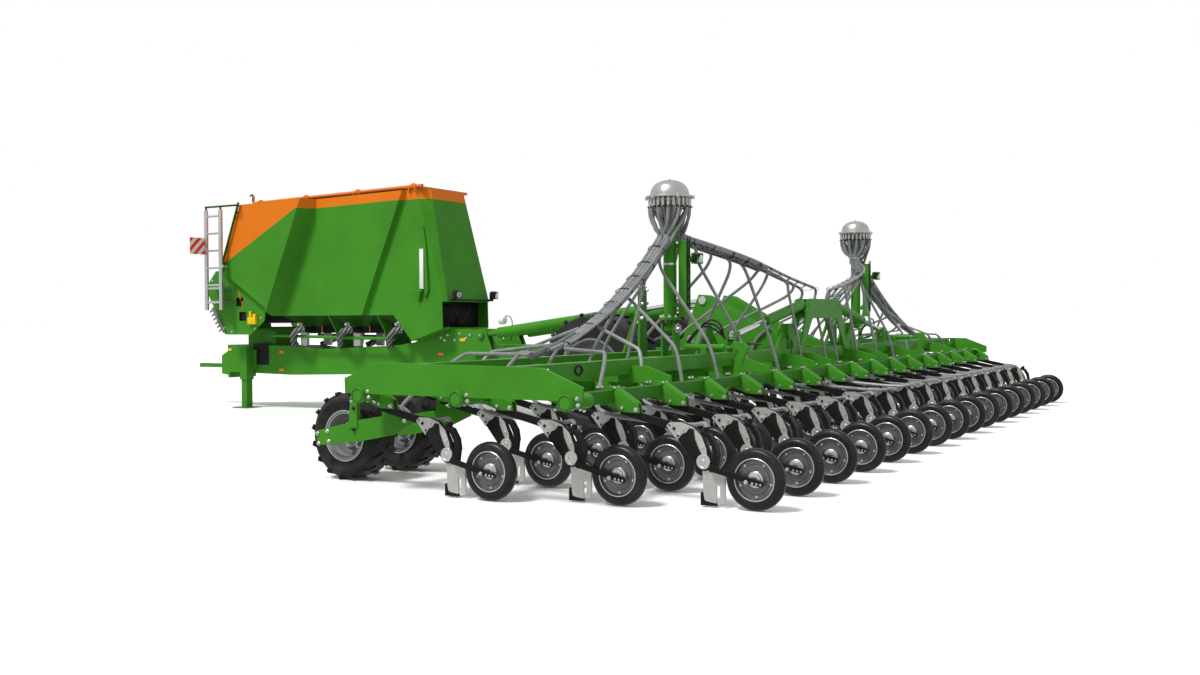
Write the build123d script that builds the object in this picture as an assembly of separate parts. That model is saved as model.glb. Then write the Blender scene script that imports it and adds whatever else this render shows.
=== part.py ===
from build123d import *
import math
import os

# A towed air seed drill, 12 m wide, standing as it parks with its wings unfolded.
# A hopper cart on a long drawbar leads, and a tool frame with three rows of coulters follows.
# Travel is along +X, the machine's left is +Y and the ground is Z = 0. Every X below is
# measured from the rear row of press-wheel axles, and place() moves the machine so that
# X = 0 is the middle of its length.

# ---- driving dimensions, in millimetres -------------------------------------------------

# coulters and press wheels
COULTER_PITCH = 250.0          # between neighbouring seed rows, counted over all three rows
COULTERS_A_ROW = 16
ROW_PITCH = 910.0              # fore and aft, between the rows of coulters
OUTER_COULTER_Y = 5375.0       # outermost coulter of the rear row, on the left
PRESS_RADIUS = 212.5
PRESS_WIDTH = 84.0
PRESS_DISC = 12.0              # thickness of the wheel's pressed disc
HUB_RADIUS = 38.0
PRESS_AXLE = 15.0              # radius of the axle stub
RUNNING = 0.05                 # radial clearance of a shaft in its bore
SEAT = 0.3                     # clearance between faces that lie on each other
ARM_BAR = 20.0                 # thickness of the coulter's tail bar
BODY_THICK = 30.0
SIDE_PLATE = 6.0               # galvanised plates beside the coulter body
BOSS_RADIUS = 50.0
TIP_HEIGHT = 10.0              # lowest point of the tines above the ground

# tool frame
BEAM_AHEAD = 1120.0            # tool beam, ahead of its row's wheel axles
TOOL_BEAM = 90.0               # square
TOOL_BEAM_Z = 740.0
REAR_BEAM_X = 1500.0           # heavy beams over the tool beams
FRONT_BEAM_X = 2450.0
HEAVY_BEAM = 120.0
HEAVY_BEAM_Z = 910.0
END_PLATE_Y = 6050.0
END_PLATE = 20.0
RIB = 20.0                     # thickness of the cross ribs
WING_GAP = 20.0                # from the hinge plane to the ends of the beams

# wing hinges
HINGE_Y = 1000.0
HINGE_Z = 1150.0
HINGE_PIN = 30.0
HINGE_EYE = 85.0
EAR_GAP = 6.0

# distributor masts
MAST_X = 1970.0
MAST_Y = 2770.0
MAST_PIVOT_Z = 1200.0
MAST_RADIUS = 62.5
HEAD_RIM_Z = 2450.0
HEAD_RIM_RADIUS = 227.5
DOME_RADIUS = 190.0
DOME_HEIGHT = 150.0

# fold cylinders, from the A-frame to a lug on each wing
FOLD_ANCHOR_Y = 500.0
FOLD_ANCHOR_Z = 1445.0
FOLD_LUG_Y = 2370.0
FOLD_LUG_Z = 1120.0
FOLD_BARREL = 1080.0
FOLD_BARREL_RADIUS = 55.0
FOLD_ROD = 880.0
FOLD_ROD_RADIUS = 30.0
FOLD_STROKE = 705.0
FOLD_PIN = 24.0

# tilt of the whole tool frame, and its two lift cylinders
TILT_X = 2900.0
TILT_Z = 1050.0
TILT_PIN = 40.0
LIFT_ANCHOR_X = 5920.0
LIFT_ANCHOR_Z = 1090.0
LIFT_EYE_X = 2750.0
LIFT_EYE_Z = 1500.0
LIFT_Y = 350.0
LIFT_BARREL = 2300.0
LIFT_BARREL_RADIUS = 70.0
LIFT_ROD = 1000.0
LIFT_ROD_RADIUS = 35.0
LIFT_STROKE = 630.0
LIFT_PIN = 29.0
SIDE_GAP = 90.0                # between the two plates that carry a lift cylinder's eye
SIDE_PLATE_FRAME = 20.0

# road wheels
ROAD_X = 3800.0
ROAD_RADIUS = 685.0
ROAD_WIDTH = 600.0
ROAD_Y = 950.0
ROAD_RIM = 390.0
ROAD_STUB = 45.0
ROAD_LUG = (18, 28.0, 45.0)     # number of tread bars on a side, their height and thickness
GUIDE_X = 3490.0               # twin guide wheels in front of each wing's tip
GUIDE_RADIUS = 360.0
GUIDE_WIDTH = 280.0
GUIDE_OUTER_Y = 5460.0
GUIDE_INNER_Y = 4810.0
GUIDE_RIM = 205.0
GUIDE_STUB = 25.0
GUIDE_LUG = (16, 16.0, 40.0)

# cart
EYE_X = 11600.0
EYE_Z = 600.0
EYE_BORE = 25.5
EYE_THICK = 60.0
EYE_RADIUS = 80.0
BEAM_HALF = 300.0
HOPPER_TOP = 3030.0
HOPPER_FLOOR = 1360.0
HOPPER_WALL = 8.0
REAR_HALF = 500.0
MIDDLE_HALF = 570.0
FRONT_HALF = 800.0
STEP_LEAN = -0.437             # how far the hopper's steps move rearwards for each unit up
RIM_REAR_X = 6770.0
RIM_FRONT_X = 9920.0
RIM_FRONT_Z = HOPPER_TOP - 70.0
NOSE = (10340.0, 2040.0)
NOSE_LOW = (9430.0, 1480.0)
LOCKER_TOP = 1530.0            # the open locker under the hopper's rear end
FUNNELS = (7200.0, 8100.0, 9000.0)
FUNNEL_HALF = 430.0

NODES = {}


def flat(points, y, thickness):
    """A plate that stands fore and aft: an X-Z outline, centred on y."""
    face = make_face(Plane.XZ * Polyline(*points, close=True))
    return Pos(0, y, 0) * extrude(face, thickness / 2, both=True)


def across(points, x, thickness):
    """A plate that stands across the machine: a Y-Z outline, centred on x."""
    face = make_face(Plane.YZ * Polyline(*points, close=True))
    return Pos(x, 0, 0) * extrude(face, thickness / 2, both=True)


def block(x0, x1, y0, y1, z0, z1):
    return Pos((x0 + x1) / 2, (y0 + y1) / 2, (z0 + z1) / 2) * Box(abs(x1 - x0), abs(y1 - y0), abs(z1 - z0))


def round_y(radius, x, z, y0, y1):
    return Pos(x, (y0 + y1) / 2, z) * Rot(90, 0, 0) * Cylinder(radius, abs(y1 - y0))


def round_x(radius, y, z, x0, x1):
    return Pos((x0 + x1) / 2, y, z) * Rot(0, 90, 0) * Cylinder(radius, abs(x1 - x0))


def round_z(radius, x, y, z0, z1):
    return Pos(x, y, (z0 + z1) / 2) * Cylinder(radius, abs(z1 - z0))


def shaft(start, end, radius):
    """A round bar between two points."""
    start, end = Vector(*start), Vector(*end)
    run = end - start
    plane = Plane(origin=start, z_dir=run)
    return plane * Pos(0, 0, run.length / 2) * Cylinder(radius, run.length)


def turned(profile, x, y, z):
    """A part turned about a Y axis through (x, y, z): profile points are (radius, y)."""
    return Pos(x, y, z) * revolve(make_face(Polyline(*profile, close=True)), Axis.Y)


def mirrored(shape):
    return mirror(shape, about=Plane.XZ)


def joined(shapes):
    shapes = list(shapes)
    return shapes[0] + shapes[1:] if len(shapes) > 1 else shapes[0]


# ---- coulters ---------------------------------------------------------------------------

# name of the row, number of row pitches ahead of the rear row
ROWS = (("rear", 0), ("middle", 1), ("front", 2))
# name of the section, its right-hand end, its left-hand end
SECTIONS = (("left", HINGE_Y, END_PLATE_Y), ("centre", -HINGE_Y, HINGE_Y), ("right", -END_PLATE_Y, -HINGE_Y))


def coulter_places(row, low, high):
    """The Y of each coulter of a row between two sections' ends."""
    first = OUTER_COULTER_Y + row * COULTER_PITCH
    step = len(ROWS) * COULTER_PITCH
    return [first - i * step for i in range(COULTERS_A_ROW) if low < first - i * step < high]


PIVOT = (378.0, 312.0)         # the pivot disc, ahead of and above the axle's ground point
LINK = (305.0, 272.0)          # where the wheel arm is bolted on
ARM_Y = PRESS_WIDTH / 2 + 10   # the wheel arm runs beside the tyre
ARM_PLATE = 10.0
BOOT_AHEAD = 365.0             # where the seed hose goes into the boot, ahead of the axle
BOOT_TOP = 545.0

TINE = 16.0                    # thickness of the tine
TINE_SHAPE = [(395, 300), (360, 300), (338, 262), (335, 238), (225, 238), (225, 40), (262, 30),
              (262, 150), (290, 150), (290, 20), (372, 14), (384, 60), (395, 250)]


def coulter_arm():
    """Black tail bar, cast body, seed boot and wheel arm with its axle stub, for a coulter at Y = 0."""
    bar = flat([(1045, 665), (640, 578), (640, 520), (1035, 612)], 0, ARM_BAR)
    body = flat([(645, 579), (545, 577), (456, 546), (394, 488), (345, 400), (330, 345),
                 (378, 312), (424, 330), (470, 420), (540, 470), (645, 519)], 0, BODY_THICK)
    ring = round_y(BOSS_RADIUS + 14, *PIVOT, -BODY_THICK / 2, BODY_THICK / 2)
    lug = flat([PIVOT, (330, 345), (285, 290), LINK, (330, 255)], 0, BODY_THICK)
    boot = flat([(400, 528), (330, 500), (285, 430), (272, 350), (285, 262), (318, 262),
                 (308, 345), (318, 410), (352, 470), (400, 498)], 0, 40)
    spigot = round_z(20, BOOT_AHEAD, 0, 490, BOOT_TOP)
    link = round_y(24, *LINK, -BODY_THICK / 2, ARM_Y + ARM_PLATE / 2)
    wheel_arm = flat([(318, 296), (-62, 208), (-78, 186), (-62, 168), (0, 180), (310, 252)], ARM_Y, ARM_PLATE)
    stub = round_y(PRESS_AXLE - RUNNING, 0, PRESS_RADIUS, -PRESS_WIDTH / 3, ARM_Y)
    hole = round_y(BOSS_RADIUS + SEAT, *PIVOT, -BODY_THICK, BODY_THICK)
    slot = flat(TINE_SHAPE, 0, TINE + 2 * SEAT)
    return bar + body + ring + lug + boot + spigot + link + wheel_arm + stub - hole - slot


def coulter_share():
    """Galvanised side plates on the pivot boss, with the steel tine and its cutting tip."""
    plate = [(665, 546), (637, 573), (545, 575), (456, 544), (394, 486), (358, 399), (352, 330),
             (400, 345), (456, 434), (473, 484), (552, 485), (546, 455), (580, 448)]
    side = BODY_THICK / 2 + SEAT + SIDE_PLATE / 2
    cheeks = [flat(plate, y, SIDE_PLATE) for y in (-side, side)]
    boss = round_y(BOSS_RADIUS, *PIVOT, -side - SIDE_PLATE, side + SIDE_PLATE)
    tine = flat(TINE_SHAPE, 0, TINE)
    tip = flat([(392, 95), (372, 95), (290, 34), (290, 14), (404, TIP_HEIGHT), (404, 30)], 0, 24)
    return joined(cheeks + [boss, tine, tip])


def press_wheel():
    """A narrow press wheel: tyre, pressed disc and hub, centred on its axle."""
    half = PRESS_WIDTH / 2
    disc = PRESS_DISC / 2
    return turned([
        (PRESS_AXLE, -half + 12), (HUB_RADIUS, -half + 12), (HUB_RADIUS, -disc), (140, -disc),
        (152, -half + 6), (180, -half), (200, -half + 8), (PRESS_RADIUS, -half / 3),
        (PRESS_RADIUS, half / 3), (200, half - 8), (180, half), (152, half - 6),
        (140, disc), (HUB_RADIUS, disc), (HUB_RADIUS, half - 12), (PRESS_AXLE, half - 12)], 0, 0, 0)


ARM, SHARE, WHEEL = coulter_arm(), coulter_share(), press_wheel()


def bracket(beam_x, y):
    """The clamp that holds a coulter's tail bar to its tool beam: two cheeks, a top and a bottom plate."""
    cheek = [(110, 55), (-60, 60), (-235, -50), (-245, -115), (-115, -112), (0, -75), (110, -60)]
    points = [(beam_x + x, TOOL_BEAM_Z + z) for x, z in cheek]
    side = ARM_BAR / 2 + SEAT + 5
    half = TOOL_BEAM / 2
    top = block(beam_x - 58, beam_x + 108, y - 40, y + 40, TOOL_BEAM_Z + half, TOOL_BEAM_Z + half + 12)
    bottom = block(beam_x - 30, beam_x + 100, y - 40, y + 40, TOOL_BEAM_Z - half - 12, TOOL_BEAM_Z - half)
    return [flat(points, y - side, 10), flat(points, y + side, 10), top, bottom]


def section_span(low, high):
    """The ends of a section's beams, clear of the hinge planes and inside the end plates."""
    inner = END_PLATE_Y - END_PLATE / 2 - SEAT
    start = -inner if low < -HINGE_Y else low + WING_GAP
    end = inner if high > HINGE_Y else high - WING_GAP
    return start, end


for section, low, high in SECTIONS:
    beams, arms, shares = [], [], []
    start, end = section_span(low, high)
    for row_name, row in ROWS:
        axle_x = row * ROW_PITCH
        beam_x = axle_x + BEAM_AHEAD
        half = TOOL_BEAM / 2
        pieces = [block(beam_x - half, beam_x + half, start, end, TOOL_BEAM_Z - half, TOOL_BEAM_Z + half)]
        wheels = []
        for y in coulter_places(row, low, high):
            pieces += bracket(beam_x, y)
            arms.append(Pos(axle_x, y, 0) * ARM)
            shares.append(Pos(axle_x, y, 0) * SHARE)
            wheels.append(Pos(axle_x, y, PRESS_RADIUS) * WHEEL)
        beams.append(joined(pieces))
        NODES[f"press_wheels_{row_name}_{section}"] = wheels
    NODES[f"tool_beams_{section}"] = beams
    NODES[f"coulter_arms_{section}"] = arms
    NODES[f"coulter_shares_{section}"] = shares


# ---- wings ------------------------------------------------------------------------------

TOOL_TOP = TOOL_BEAM_Z + TOOL_BEAM / 2
HEAVY_LOW = HEAVY_BEAM_Z - HEAVY_BEAM / 2
HEAVY_TOP = HEAVY_BEAM_Z + HEAVY_BEAM / 2
REAR_TOOL_X = BEAM_AHEAD
FRONT_TOOL_X = BEAM_AHEAD + (len(ROWS) - 1) * ROW_PITCH
WING_RIBS = (1250.0, 2500.0, 4500.0)
RIB_TOP = HEAVY_LOW + 70.0


def hinge_ear(beam_x, sign, thickness):
    """An eye on the hinge axis with its arm down to a heavy beam, on the side that sign gives."""
    arm = [(60, -130), (80, 0), (330, HEAVY_LOW - HINGE_Z + 60), (330, HEAVY_LOW - HINGE_Z + 20),
           (60, HEAVY_LOW - HINGE_Z + 20)]
    points = [(HINGE_Y + sign * y, HINGE_Z + z) for y, z in [(-10, -60), (20, 60)] + arm[1:] + arm[:1]]
    eye = round_x(HINGE_EYE, HINGE_Y, HINGE_Z, beam_x - thickness / 2, beam_x + thickness / 2)
    return [across(points, beam_x, thickness), eye]


def wing_frame():
    """The left wing's heavy beams, ribs, end plate, hinge eyes, mast stand and cylinder lug."""
    start, end = section_span(HINGE_Y, END_PLATE_Y)
    half = HEAVY_BEAM / 2
    shapes = []
    holes = []
    for beam_x in (REAR_BEAM_X, FRONT_BEAM_X):
        shapes.append(block(beam_x - half, beam_x + half, start, END_PLATE_Y, HEAVY_LOW, HEAVY_TOP))
        shapes += hinge_ear(beam_x, 1, HEAVY_BEAM / 2)
        holes.append(round_x(HINGE_PIN, HINGE_Y, HINGE_Z, beam_x - half, beam_x + half))
    low = TOOL_TOP + SEAT
    rib = [(REAR_TOOL_X - 40, low), (FRONT_TOOL_X + 40, low), (FRONT_TOOL_X + 40, low + 60),
           (FRONT_BEAM_X + 200, RIB_TOP), (REAR_BEAM_X - 200, RIB_TOP), (REAR_TOOL_X - 40, low + 60)]
    shapes += [flat(rib, y, RIB) for y in WING_RIBS]
    plate = [(REAR_TOOL_X - 175, 745), (REAR_TOOL_X - 180, 840), (REAR_TOOL_X + 140, 965),
             (FRONT_TOOL_X - 250, 982), (FRONT_TOOL_X + 95, 860), (FRONT_TOOL_X + 90, 745)]
    shapes.append(flat(plate, END_PLATE_Y, END_PLATE))
    for row in range(len(ROWS)):
        x = BEAM_AHEAD + row * ROW_PITCH - 60
        shapes.append(round_y(57, x, 735, END_PLATE_Y, END_PLATE_Y + 35))
    # mast stand: a cross member between the heavy beams with two ears for the mast's eye
    shapes.append(block(REAR_BEAM_X, FRONT_BEAM_X, MAST_Y - 60, MAST_Y + 60, HEAVY_LOW, HEAVY_LOW + 80))
    ear = [(MAST_Y - 60, HEAVY_LOW + 20), (MAST_Y + 60, HEAVY_LOW + 20), (MAST_Y + 60, MAST_PIVOT_Z + 50),
           (MAST_Y - 60, MAST_PIVOT_Z + 50)]
    for x in (MAST_X - 60, MAST_X + 60):
        shapes.append(across(ear, x, 20))
    shapes.append(round_x(25, MAST_Y, MAST_PIVOT_Z, MAST_X - 70, MAST_X + 70))
    # the plate ahead of the mast that it leans on when it stands up, with its brace
    tower_x = MAST_X + HEAD_RIM_RADIUS + 60
    shapes.append(block(tower_x, tower_x + 24, MAST_Y - 70, MAST_Y + 70, HEAVY_LOW + 20, MAST_PIVOT_Z + 400))
    shapes.append(shaft((tower_x + 12, MAST_Y, MAST_PIVOT_Z + 300), (FRONT_BEAM_X + 20, MAST_Y, HEAVY_TOP - 20), 24))
    # lug of the fold cylinder
    lug = [(FOLD_LUG_Y - 70, HEAVY_TOP - 10), (FOLD_LUG_Y + 70, HEAVY_TOP - 10), (FOLD_LUG_Y + 50, FOLD_LUG_Z + 50),
           (FOLD_LUG_Y - 50, FOLD_LUG_Z + 50)]
    for x in (REAR_BEAM_X - 42, REAR_BEAM_X + 42):
        shapes.append(across(lug, x, 20))
    return joined(shapes) - joined(holes)


def guide_arm():
    """Arms, axle and hangers of the left wing's twin guide wheels."""
    arm = [(3690, 400), (3210, 510), (2960, 550), (2790, 590), (2660, 550), (2650, 510),
           (2900, 400), (3240, 335), (3670, 285)]
    low = TOOL_BEAM_Z - TOOL_BEAM / 2 - SEAT
    hanger = [(FRONT_TOOL_X - 70, 450), (FRONT_TOOL_X + 60, 450), (FRONT_TOOL_X + 44, low), (FRONT_TOOL_X - 44, low)]
    shapes = []
    for y in (GUIDE_OUTER_Y + GUIDE_WIDTH / 2 + 80, (GUIDE_INNER_Y + GUIDE_WIDTH / 2) + 60):
        shapes += [flat(arm, y, 24), flat(hanger, y, 24)]
    strap = [(3240, 440), (3330, 440), (3310, 700), (3250, 700)]
    shapes.append(flat(strap, GUIDE_OUTER_Y + GUIDE_WIDTH / 2 + 80, 40))
    start = GUIDE_INNER_Y - GUIDE_WIDTH / 2 - 20
    end = GUIDE_OUTER_Y + GUIDE_WIDTH / 2 + 80
    shapes.append(round_y(GUIDE_STUB - RUNNING, GUIDE_X, GUIDE_RADIUS, start, end))
    return joined(shapes)


def wheel_form(radius, width, rim, stub, dish, lug):
    """Tyre and rim of a road or guide wheel, centred on the axle.

    lug is the (number on a side, height, thickness) of the tread's bars.
    """
    half = width / 2
    number, height, thick = lug
    tread = radius - height
    tyre = turned([(rim, -half * 0.8), ((rim + radius) / 2, -half), (radius - 60, -half * 0.97),
                   (tread, -half * 0.7), (tread, half * 0.7), (radius - 60, half * 0.97),
                   ((rim + radius) / 2, half), (rim, half * 0.8)], 0, 0, 0)
    # the bars lean 30 degrees and lie in a chevron; their ends reach the tyre's full radius
    length = half * 0.8
    reach = length / 4 + thick / 2
    top = math.sqrt(radius ** 2 - reach ** 2)
    low = tread - 4
    bars = []
    for side in (-1, 1):
        bar = Pos(0, side * half * 0.48, (low + top) / 2) * Rot(0, 0, side * 30) * Box(thick, length, top - low)
        bars += [Rot(0, 360 * (i + 0.5 + side / 4) / number, 0) * bar for i in range(number)]
    tyre = joined([tyre] + bars)
    wheel = turned([(stub, dish - 40), (stub + 70, dish - 40), (stub + 70, dish - 8), (rim - 40, dish - 8),
                    (rim - 25, -half * 0.8), (rim, -half * 0.8), (rim, half * 0.8), (rim - 25, half * 0.8),
                    (rim - 40, dish + 8), (stub + 70, dish + 8), (stub + 70, dish + 40), (stub, dish + 40)], 0, 0, 0)
    return tyre, wheel


def mast():
    """The left distributor mast: eye, round post, square post and work lamp."""
    eye = round_x(50, MAST_Y, MAST_PIVOT_Z, MAST_X - 44, MAST_X + 44)
    bore = round_x(25 + RUNNING, MAST_Y, MAST_PIVOT_Z, MAST_X - 80, MAST_X + 80)
    foot = round_z(40, MAST_X, MAST_Y, MAST_PIVOT_Z + 20, MAST_PIVOT_Z + 95)
    post = round_z(MAST_RADIUS, MAST_X, MAST_Y, MAST_PIVOT_Z + 90, HEAD_RIM_Z - 230)
    flange = round_z(105, MAST_X, MAST_Y, MAST_PIVOT_Z + 80, MAST_PIVOT_Z + 105)
    square = block(MAST_X - 190, MAST_X - 110, MAST_Y - 40, MAST_Y + 40, MAST_PIVOT_Z + 110, 2020)
    ties = [block(MAST_X - 150, MAST_X, MAST_Y - 25, MAST_Y + 25, z, z + 40) for z in (1400, 1960)]
    lamp = block(MAST_X - 320, MAST_X - 250, MAST_Y - 55, MAST_Y + 55, 1805, 1905)
    stalk = block(MAST_X - 265, MAST_X - 175, MAST_Y - 12, MAST_Y + 12, 1830, 1860)
    return joined([eye, foot, post, flange, square, lamp, stalk] + ties) - bore


def head():
    """The left distributor head: funnel, rim with its outlets and dome, on the mast's post."""
    low = HEAD_RIM_Z - 230 + SEAT
    cone = turned_z([(0, low), (80, low), (120, HEAD_RIM_Z - 120), (HEAD_RIM_RADIUS - 10, HEAD_RIM_Z - 60),
                     (HEAD_RIM_RADIUS, HEAD_RIM_Z - 50), (HEAD_RIM_RADIUS, HEAD_RIM_Z),
                     (DOME_RADIUS, HEAD_RIM_Z), (DOME_RADIUS * 0.93, HEAD_RIM_Z + DOME_HEIGHT * 0.5),
                     (DOME_RADIUS * 0.65, HEAD_RIM_Z + DOME_HEIGHT * 0.88), (0, HEAD_RIM_Z + DOME_HEIGHT)])
    outlets = [round_z(OUTLET_RADIUS, x, y, OUTLET_LOW, HEAD_RIM_Z - 50) for x, y in outlet_places()]
    return joined([Pos(MAST_X, MAST_Y, 0) * cone] + outlets)


OUTLETS = len(ROWS) * COULTERS_A_ROW // 2
OUTLET_RING = 190.0
OUTLET_RADIUS = 14.0
OUTLET_LOW = HEAD_RIM_Z - 105


def outlet_places(ring=OUTLET_RING):
    """Where the outlets stand round the left head, or where their hoses are on a smaller ring."""
    turns = [math.tau * (i + 0.5) / OUTLETS for i in range(OUTLETS)]
    return [(MAST_X + ring * math.cos(turn), MAST_Y + ring * math.sin(turn)) for turn in turns]


def turned_z(profile):
    """A part turned about the Z axis: profile points are (radius, z)."""
    return revolve(make_face(Plane.XZ * Polyline(*profile, close=True)), Axis.Z)


def cylinder_pair(anchor, eye, barrel, rod, stroke, pin, width, lie, neck):
    """A hydraulic cylinder from its anchor to the eye of its rod.

    barrel and rod are (length, radius), stroke is how far the rod goes in, lie is the pins'
    direction, and neck is the length beside the anchor over which the barrel is no wider
    than its eye.
    """
    anchor, eye, lie = Vector(*anchor), Vector(*eye), Vector(*lie)
    run = (eye - anchor).normalized()
    reach = (eye - anchor).length

    def along(distance):
        return tuple(anchor + run * distance)

    def boss(at, radius, length):
        plane = Plane(origin=at - lie * (length / 2), z_dir=lie)
        return plane * Pos(0, 0, length / 2) * Cylinder(radius, length)

    bore_start = reach - rod[0] - stroke - 20
    outer = shaft(along(0), along(neck + 20), width * 0.45) + shaft(along(neck), along(barrel[0]), barrel[1])
    outer += boss(anchor, 2 * pin, width)
    outer -= shaft(along(bore_start), along(barrel[0] + 10), rod[1] + RUNNING)
    outer -= boss(anchor, pin, width + 20)
    inner = shaft(along(reach - rod[0]), along(reach - pin), rod[1]) + boss(eye, 2 * pin, width)
    inner -= boss(eye, pin, width + 20)
    return outer, inner


fold_barrel, fold_rod = cylinder_pair(
    (REAR_BEAM_X, FOLD_ANCHOR_Y, FOLD_ANCHOR_Z), (REAR_BEAM_X, FOLD_LUG_Y, FOLD_LUG_Z),
    (FOLD_BARREL, FOLD_BARREL_RADIUS), (FOLD_ROD, FOLD_ROD_RADIUS), FOLD_STROKE, FOLD_PIN, 50.0, (1, 0, 0), 60.0)
guide_tyre, guide_rim = wheel_form(GUIDE_RADIUS, GUIDE_WIDTH, GUIDE_RIM, GUIDE_STUB, 0, GUIDE_LUG)
guide_wheels = [Pos(GUIDE_X, y, GUIDE_RADIUS) * (guide_tyre + guide_rim) for y in (GUIDE_OUTER_Y, GUIDE_INNER_Y)]
road_tyre, road_rim = wheel_form(ROAD_RADIUS, ROAD_WIDTH, ROAD_RIM, ROAD_STUB, 60, ROAD_LUG)

ADJUSTER_Y = 3000.0
ADJUSTER_Z = 1030.0


def adjuster():
    """A crescent lever on the rear tool beam with the short cylinder that sets it."""
    low = TOOL_TOP + SEAT
    lever = flat([(1120, low), (1215, low), (1200, 880), (1175, 960), (1150, 1000), (1205, 1020), (1240, 1050),
                  (1200, 1085), (1110, 1075), (1075, 1030), (1100, 960), (1130, 880)], ADJUSTER_Y, 40)
    rod = round_x(14, ADJUSTER_Y, ADJUSTER_Z, 1160, 1310)
    barrel = round_x(30, ADJUSTER_Y, ADJUSTER_Z, 1300, 1700)
    saddle = block(REAR_BEAM_X - 30, REAR_BEAM_X + 30, ADJUSTER_Y - 35, ADJUSTER_Y + 35, HEAVY_TOP + SEAT, ADJUSTER_Z)
    return joined([lever, rod, barrel, saddle])


LEFT_PIECES = {
    "wing_frame": [wing_frame()],
    "adjuster": [adjuster()],
    "guide_arm": [guide_arm()],
    "guide_wheels": guide_wheels,
    "mast": [mast()],
    "distributor": [head()],
    "fold_barrel": [fold_barrel],
    "fold_rod": [fold_rod],
    "road_tyre": [Pos(ROAD_X, ROAD_Y, ROAD_RADIUS) * road_tyre],
    "road_rim": [Pos(ROAD_X, ROAD_Y, ROAD_RADIUS) * road_rim],
}
for name, shapes in LEFT_PIECES.items():
    NODES[f"{name}_left"] = shapes
    NODES[f"{name}_right"] = [mirrored(shape) for shape in shapes]


# ---- seed hoses -------------------------------------------------------------------------

HOSE = 16.0                    # radius of a seed hose
HOSE_BEND = 60.0
BUNDLE = 50.0                  # radius of a tied bundle of hoses
COLLAR_Z = 2070.0              # where the hoses of a head are tied round its post
BESIDE = 62.5                  # a hose passes its coulter's clamp this far from the middle
OVER_Z = HEAVY_TOP + 60        # it crosses the heavy beams above this height
UNDER_Z = 600.0                # and runs rearwards under its tool beam at this one
# each bundle's route from the left head, outwards over the wing and inwards to the A-frame
OUTER_ROUTE = [(1975, 2890, COLLAR_Z), (1975, 3080, 2020), (1950, 3400, 1800), (1900, 4200, 1410), (1860, 4900, 1090), (1850, 5130, 1010)]
INNER_ROUTE = [(1960, 2650, COLLAR_Z), (1880, 2450, 2070), (1640, 2020, 1975), (1550, 1600, 1865), (1510, HINGE_Y + SEAT, 1745)]
CENTRE_ROUTE = [(1510, HINGE_Y, 1745), (1477, 500, 1645), (1500, 60, 1590)]
# name of the row, where its hoses come down, ahead of its tool beam
COME_DOWN = {"rear": 180.0, "middle": 180.0, "front": -180.0}


def tube(route, radius, bend):
    """A round tube along straight runs joined by arcs."""
    start, second = Vector(*route[0]), Vector(*route[1])
    path = FilletPolyline(*route, radius=bend) if len(route) > 2 else Line(*route)
    return sweep(Plane(origin=start, z_dir=second - start) * Circle(radius), path)


def on_route(route, y):
    """The point of a bundle's route at this Y, or its nearer end."""
    near, far = sorted((route[0], route[-1]), key=lambda point: point[1])
    if not near[1] < y < far[1]:
        return near if y <= near[1] else far
    for a, b in zip(route, route[1:]):
        share = (y - a[1]) / (b[1] - a[1])
        if 0 <= share <= 1:
            return tuple(p + share * (q - p) for p, q in zip(a, b))


def drop(start, row_name, row, y, fall):
    """A hose from its bundle down past the tool beam and back to the coulter's seed boot.

    fall is the share of the height to the beams that it loses on its first run.
    """
    axle_x = row * ROW_PITCH
    down_x = axle_x + BEAM_AHEAD + COME_DOWN[row_name]
    down_y = beside(y)
    across_x = 0.4 * start[0] + 0.6 * down_x
    route = [start, (across_x, down_y, start[2] - fall * (start[2] - OVER_Z)), (down_x, down_y, OVER_Z),
             (down_x, down_y, UNDER_Z), (axle_x + BOOT_AHEAD + 250, down_y, UNDER_Z),
             (axle_x + BOOT_AHEAD, y, UNDER_Z + 30), (axle_x + BOOT_AHEAD, y, BOOT_TOP + SEAT)]
    return tube(route, HOSE, 25)


def beside(y):
    """The Y at which the hose of a coulter comes down, on the outboard side of its clamp."""
    return y + math.copysign(BESIDE, y)


def flip(points):
    return [(x, -y, z) for x, y, z in points]


def wing_hoses(side):
    """All the hoses of a head that go to its wing, tied round the post and into two bundles."""
    outer, inner = (OUTER_ROUTE, INNER_ROUTE) if side > 0 else (flip(OUTER_ROUTE), flip(INNER_ROUTE))
    rings = zip(outlet_places(), outlet_places(OUTLET_RING - 65))
    falls = [tube([(*top, OUTLET_LOW - SEAT), (*top, OUTLET_LOW - 80), (*foot, COLLAR_Z)], HOSE - 4, HOSE_BEND)
             for top, foot in rings]
    collar = Pos(MAST_X, MAST_Y, COLLAR_Z) * (Cylinder(150, 50) - Cylinder(85, 60))
    ring = joined([collar] + falls)
    shapes = [ring if side > 0 else mirrored(ring)]
    for route in (outer, inner):
        shapes.append(tube(route, BUNDLE, HOSE_BEND))
    for row_name, row in ROWS:
        for y in coulter_places(row, HINGE_Y, END_PLATE_Y) if side > 0 else coulter_places(row, -END_PLATE_Y, -HINGE_Y):
            route = outer if abs(y) > MAST_Y else inner
            start = on_route(route, side * MAST_Y + 0.82 * (y - side * MAST_Y))
            shapes.append(drop(start, row_name, row, y, 0.4 if start[2] > OVER_Z + 220 else 0.1))
    return joined(shapes)


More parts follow.
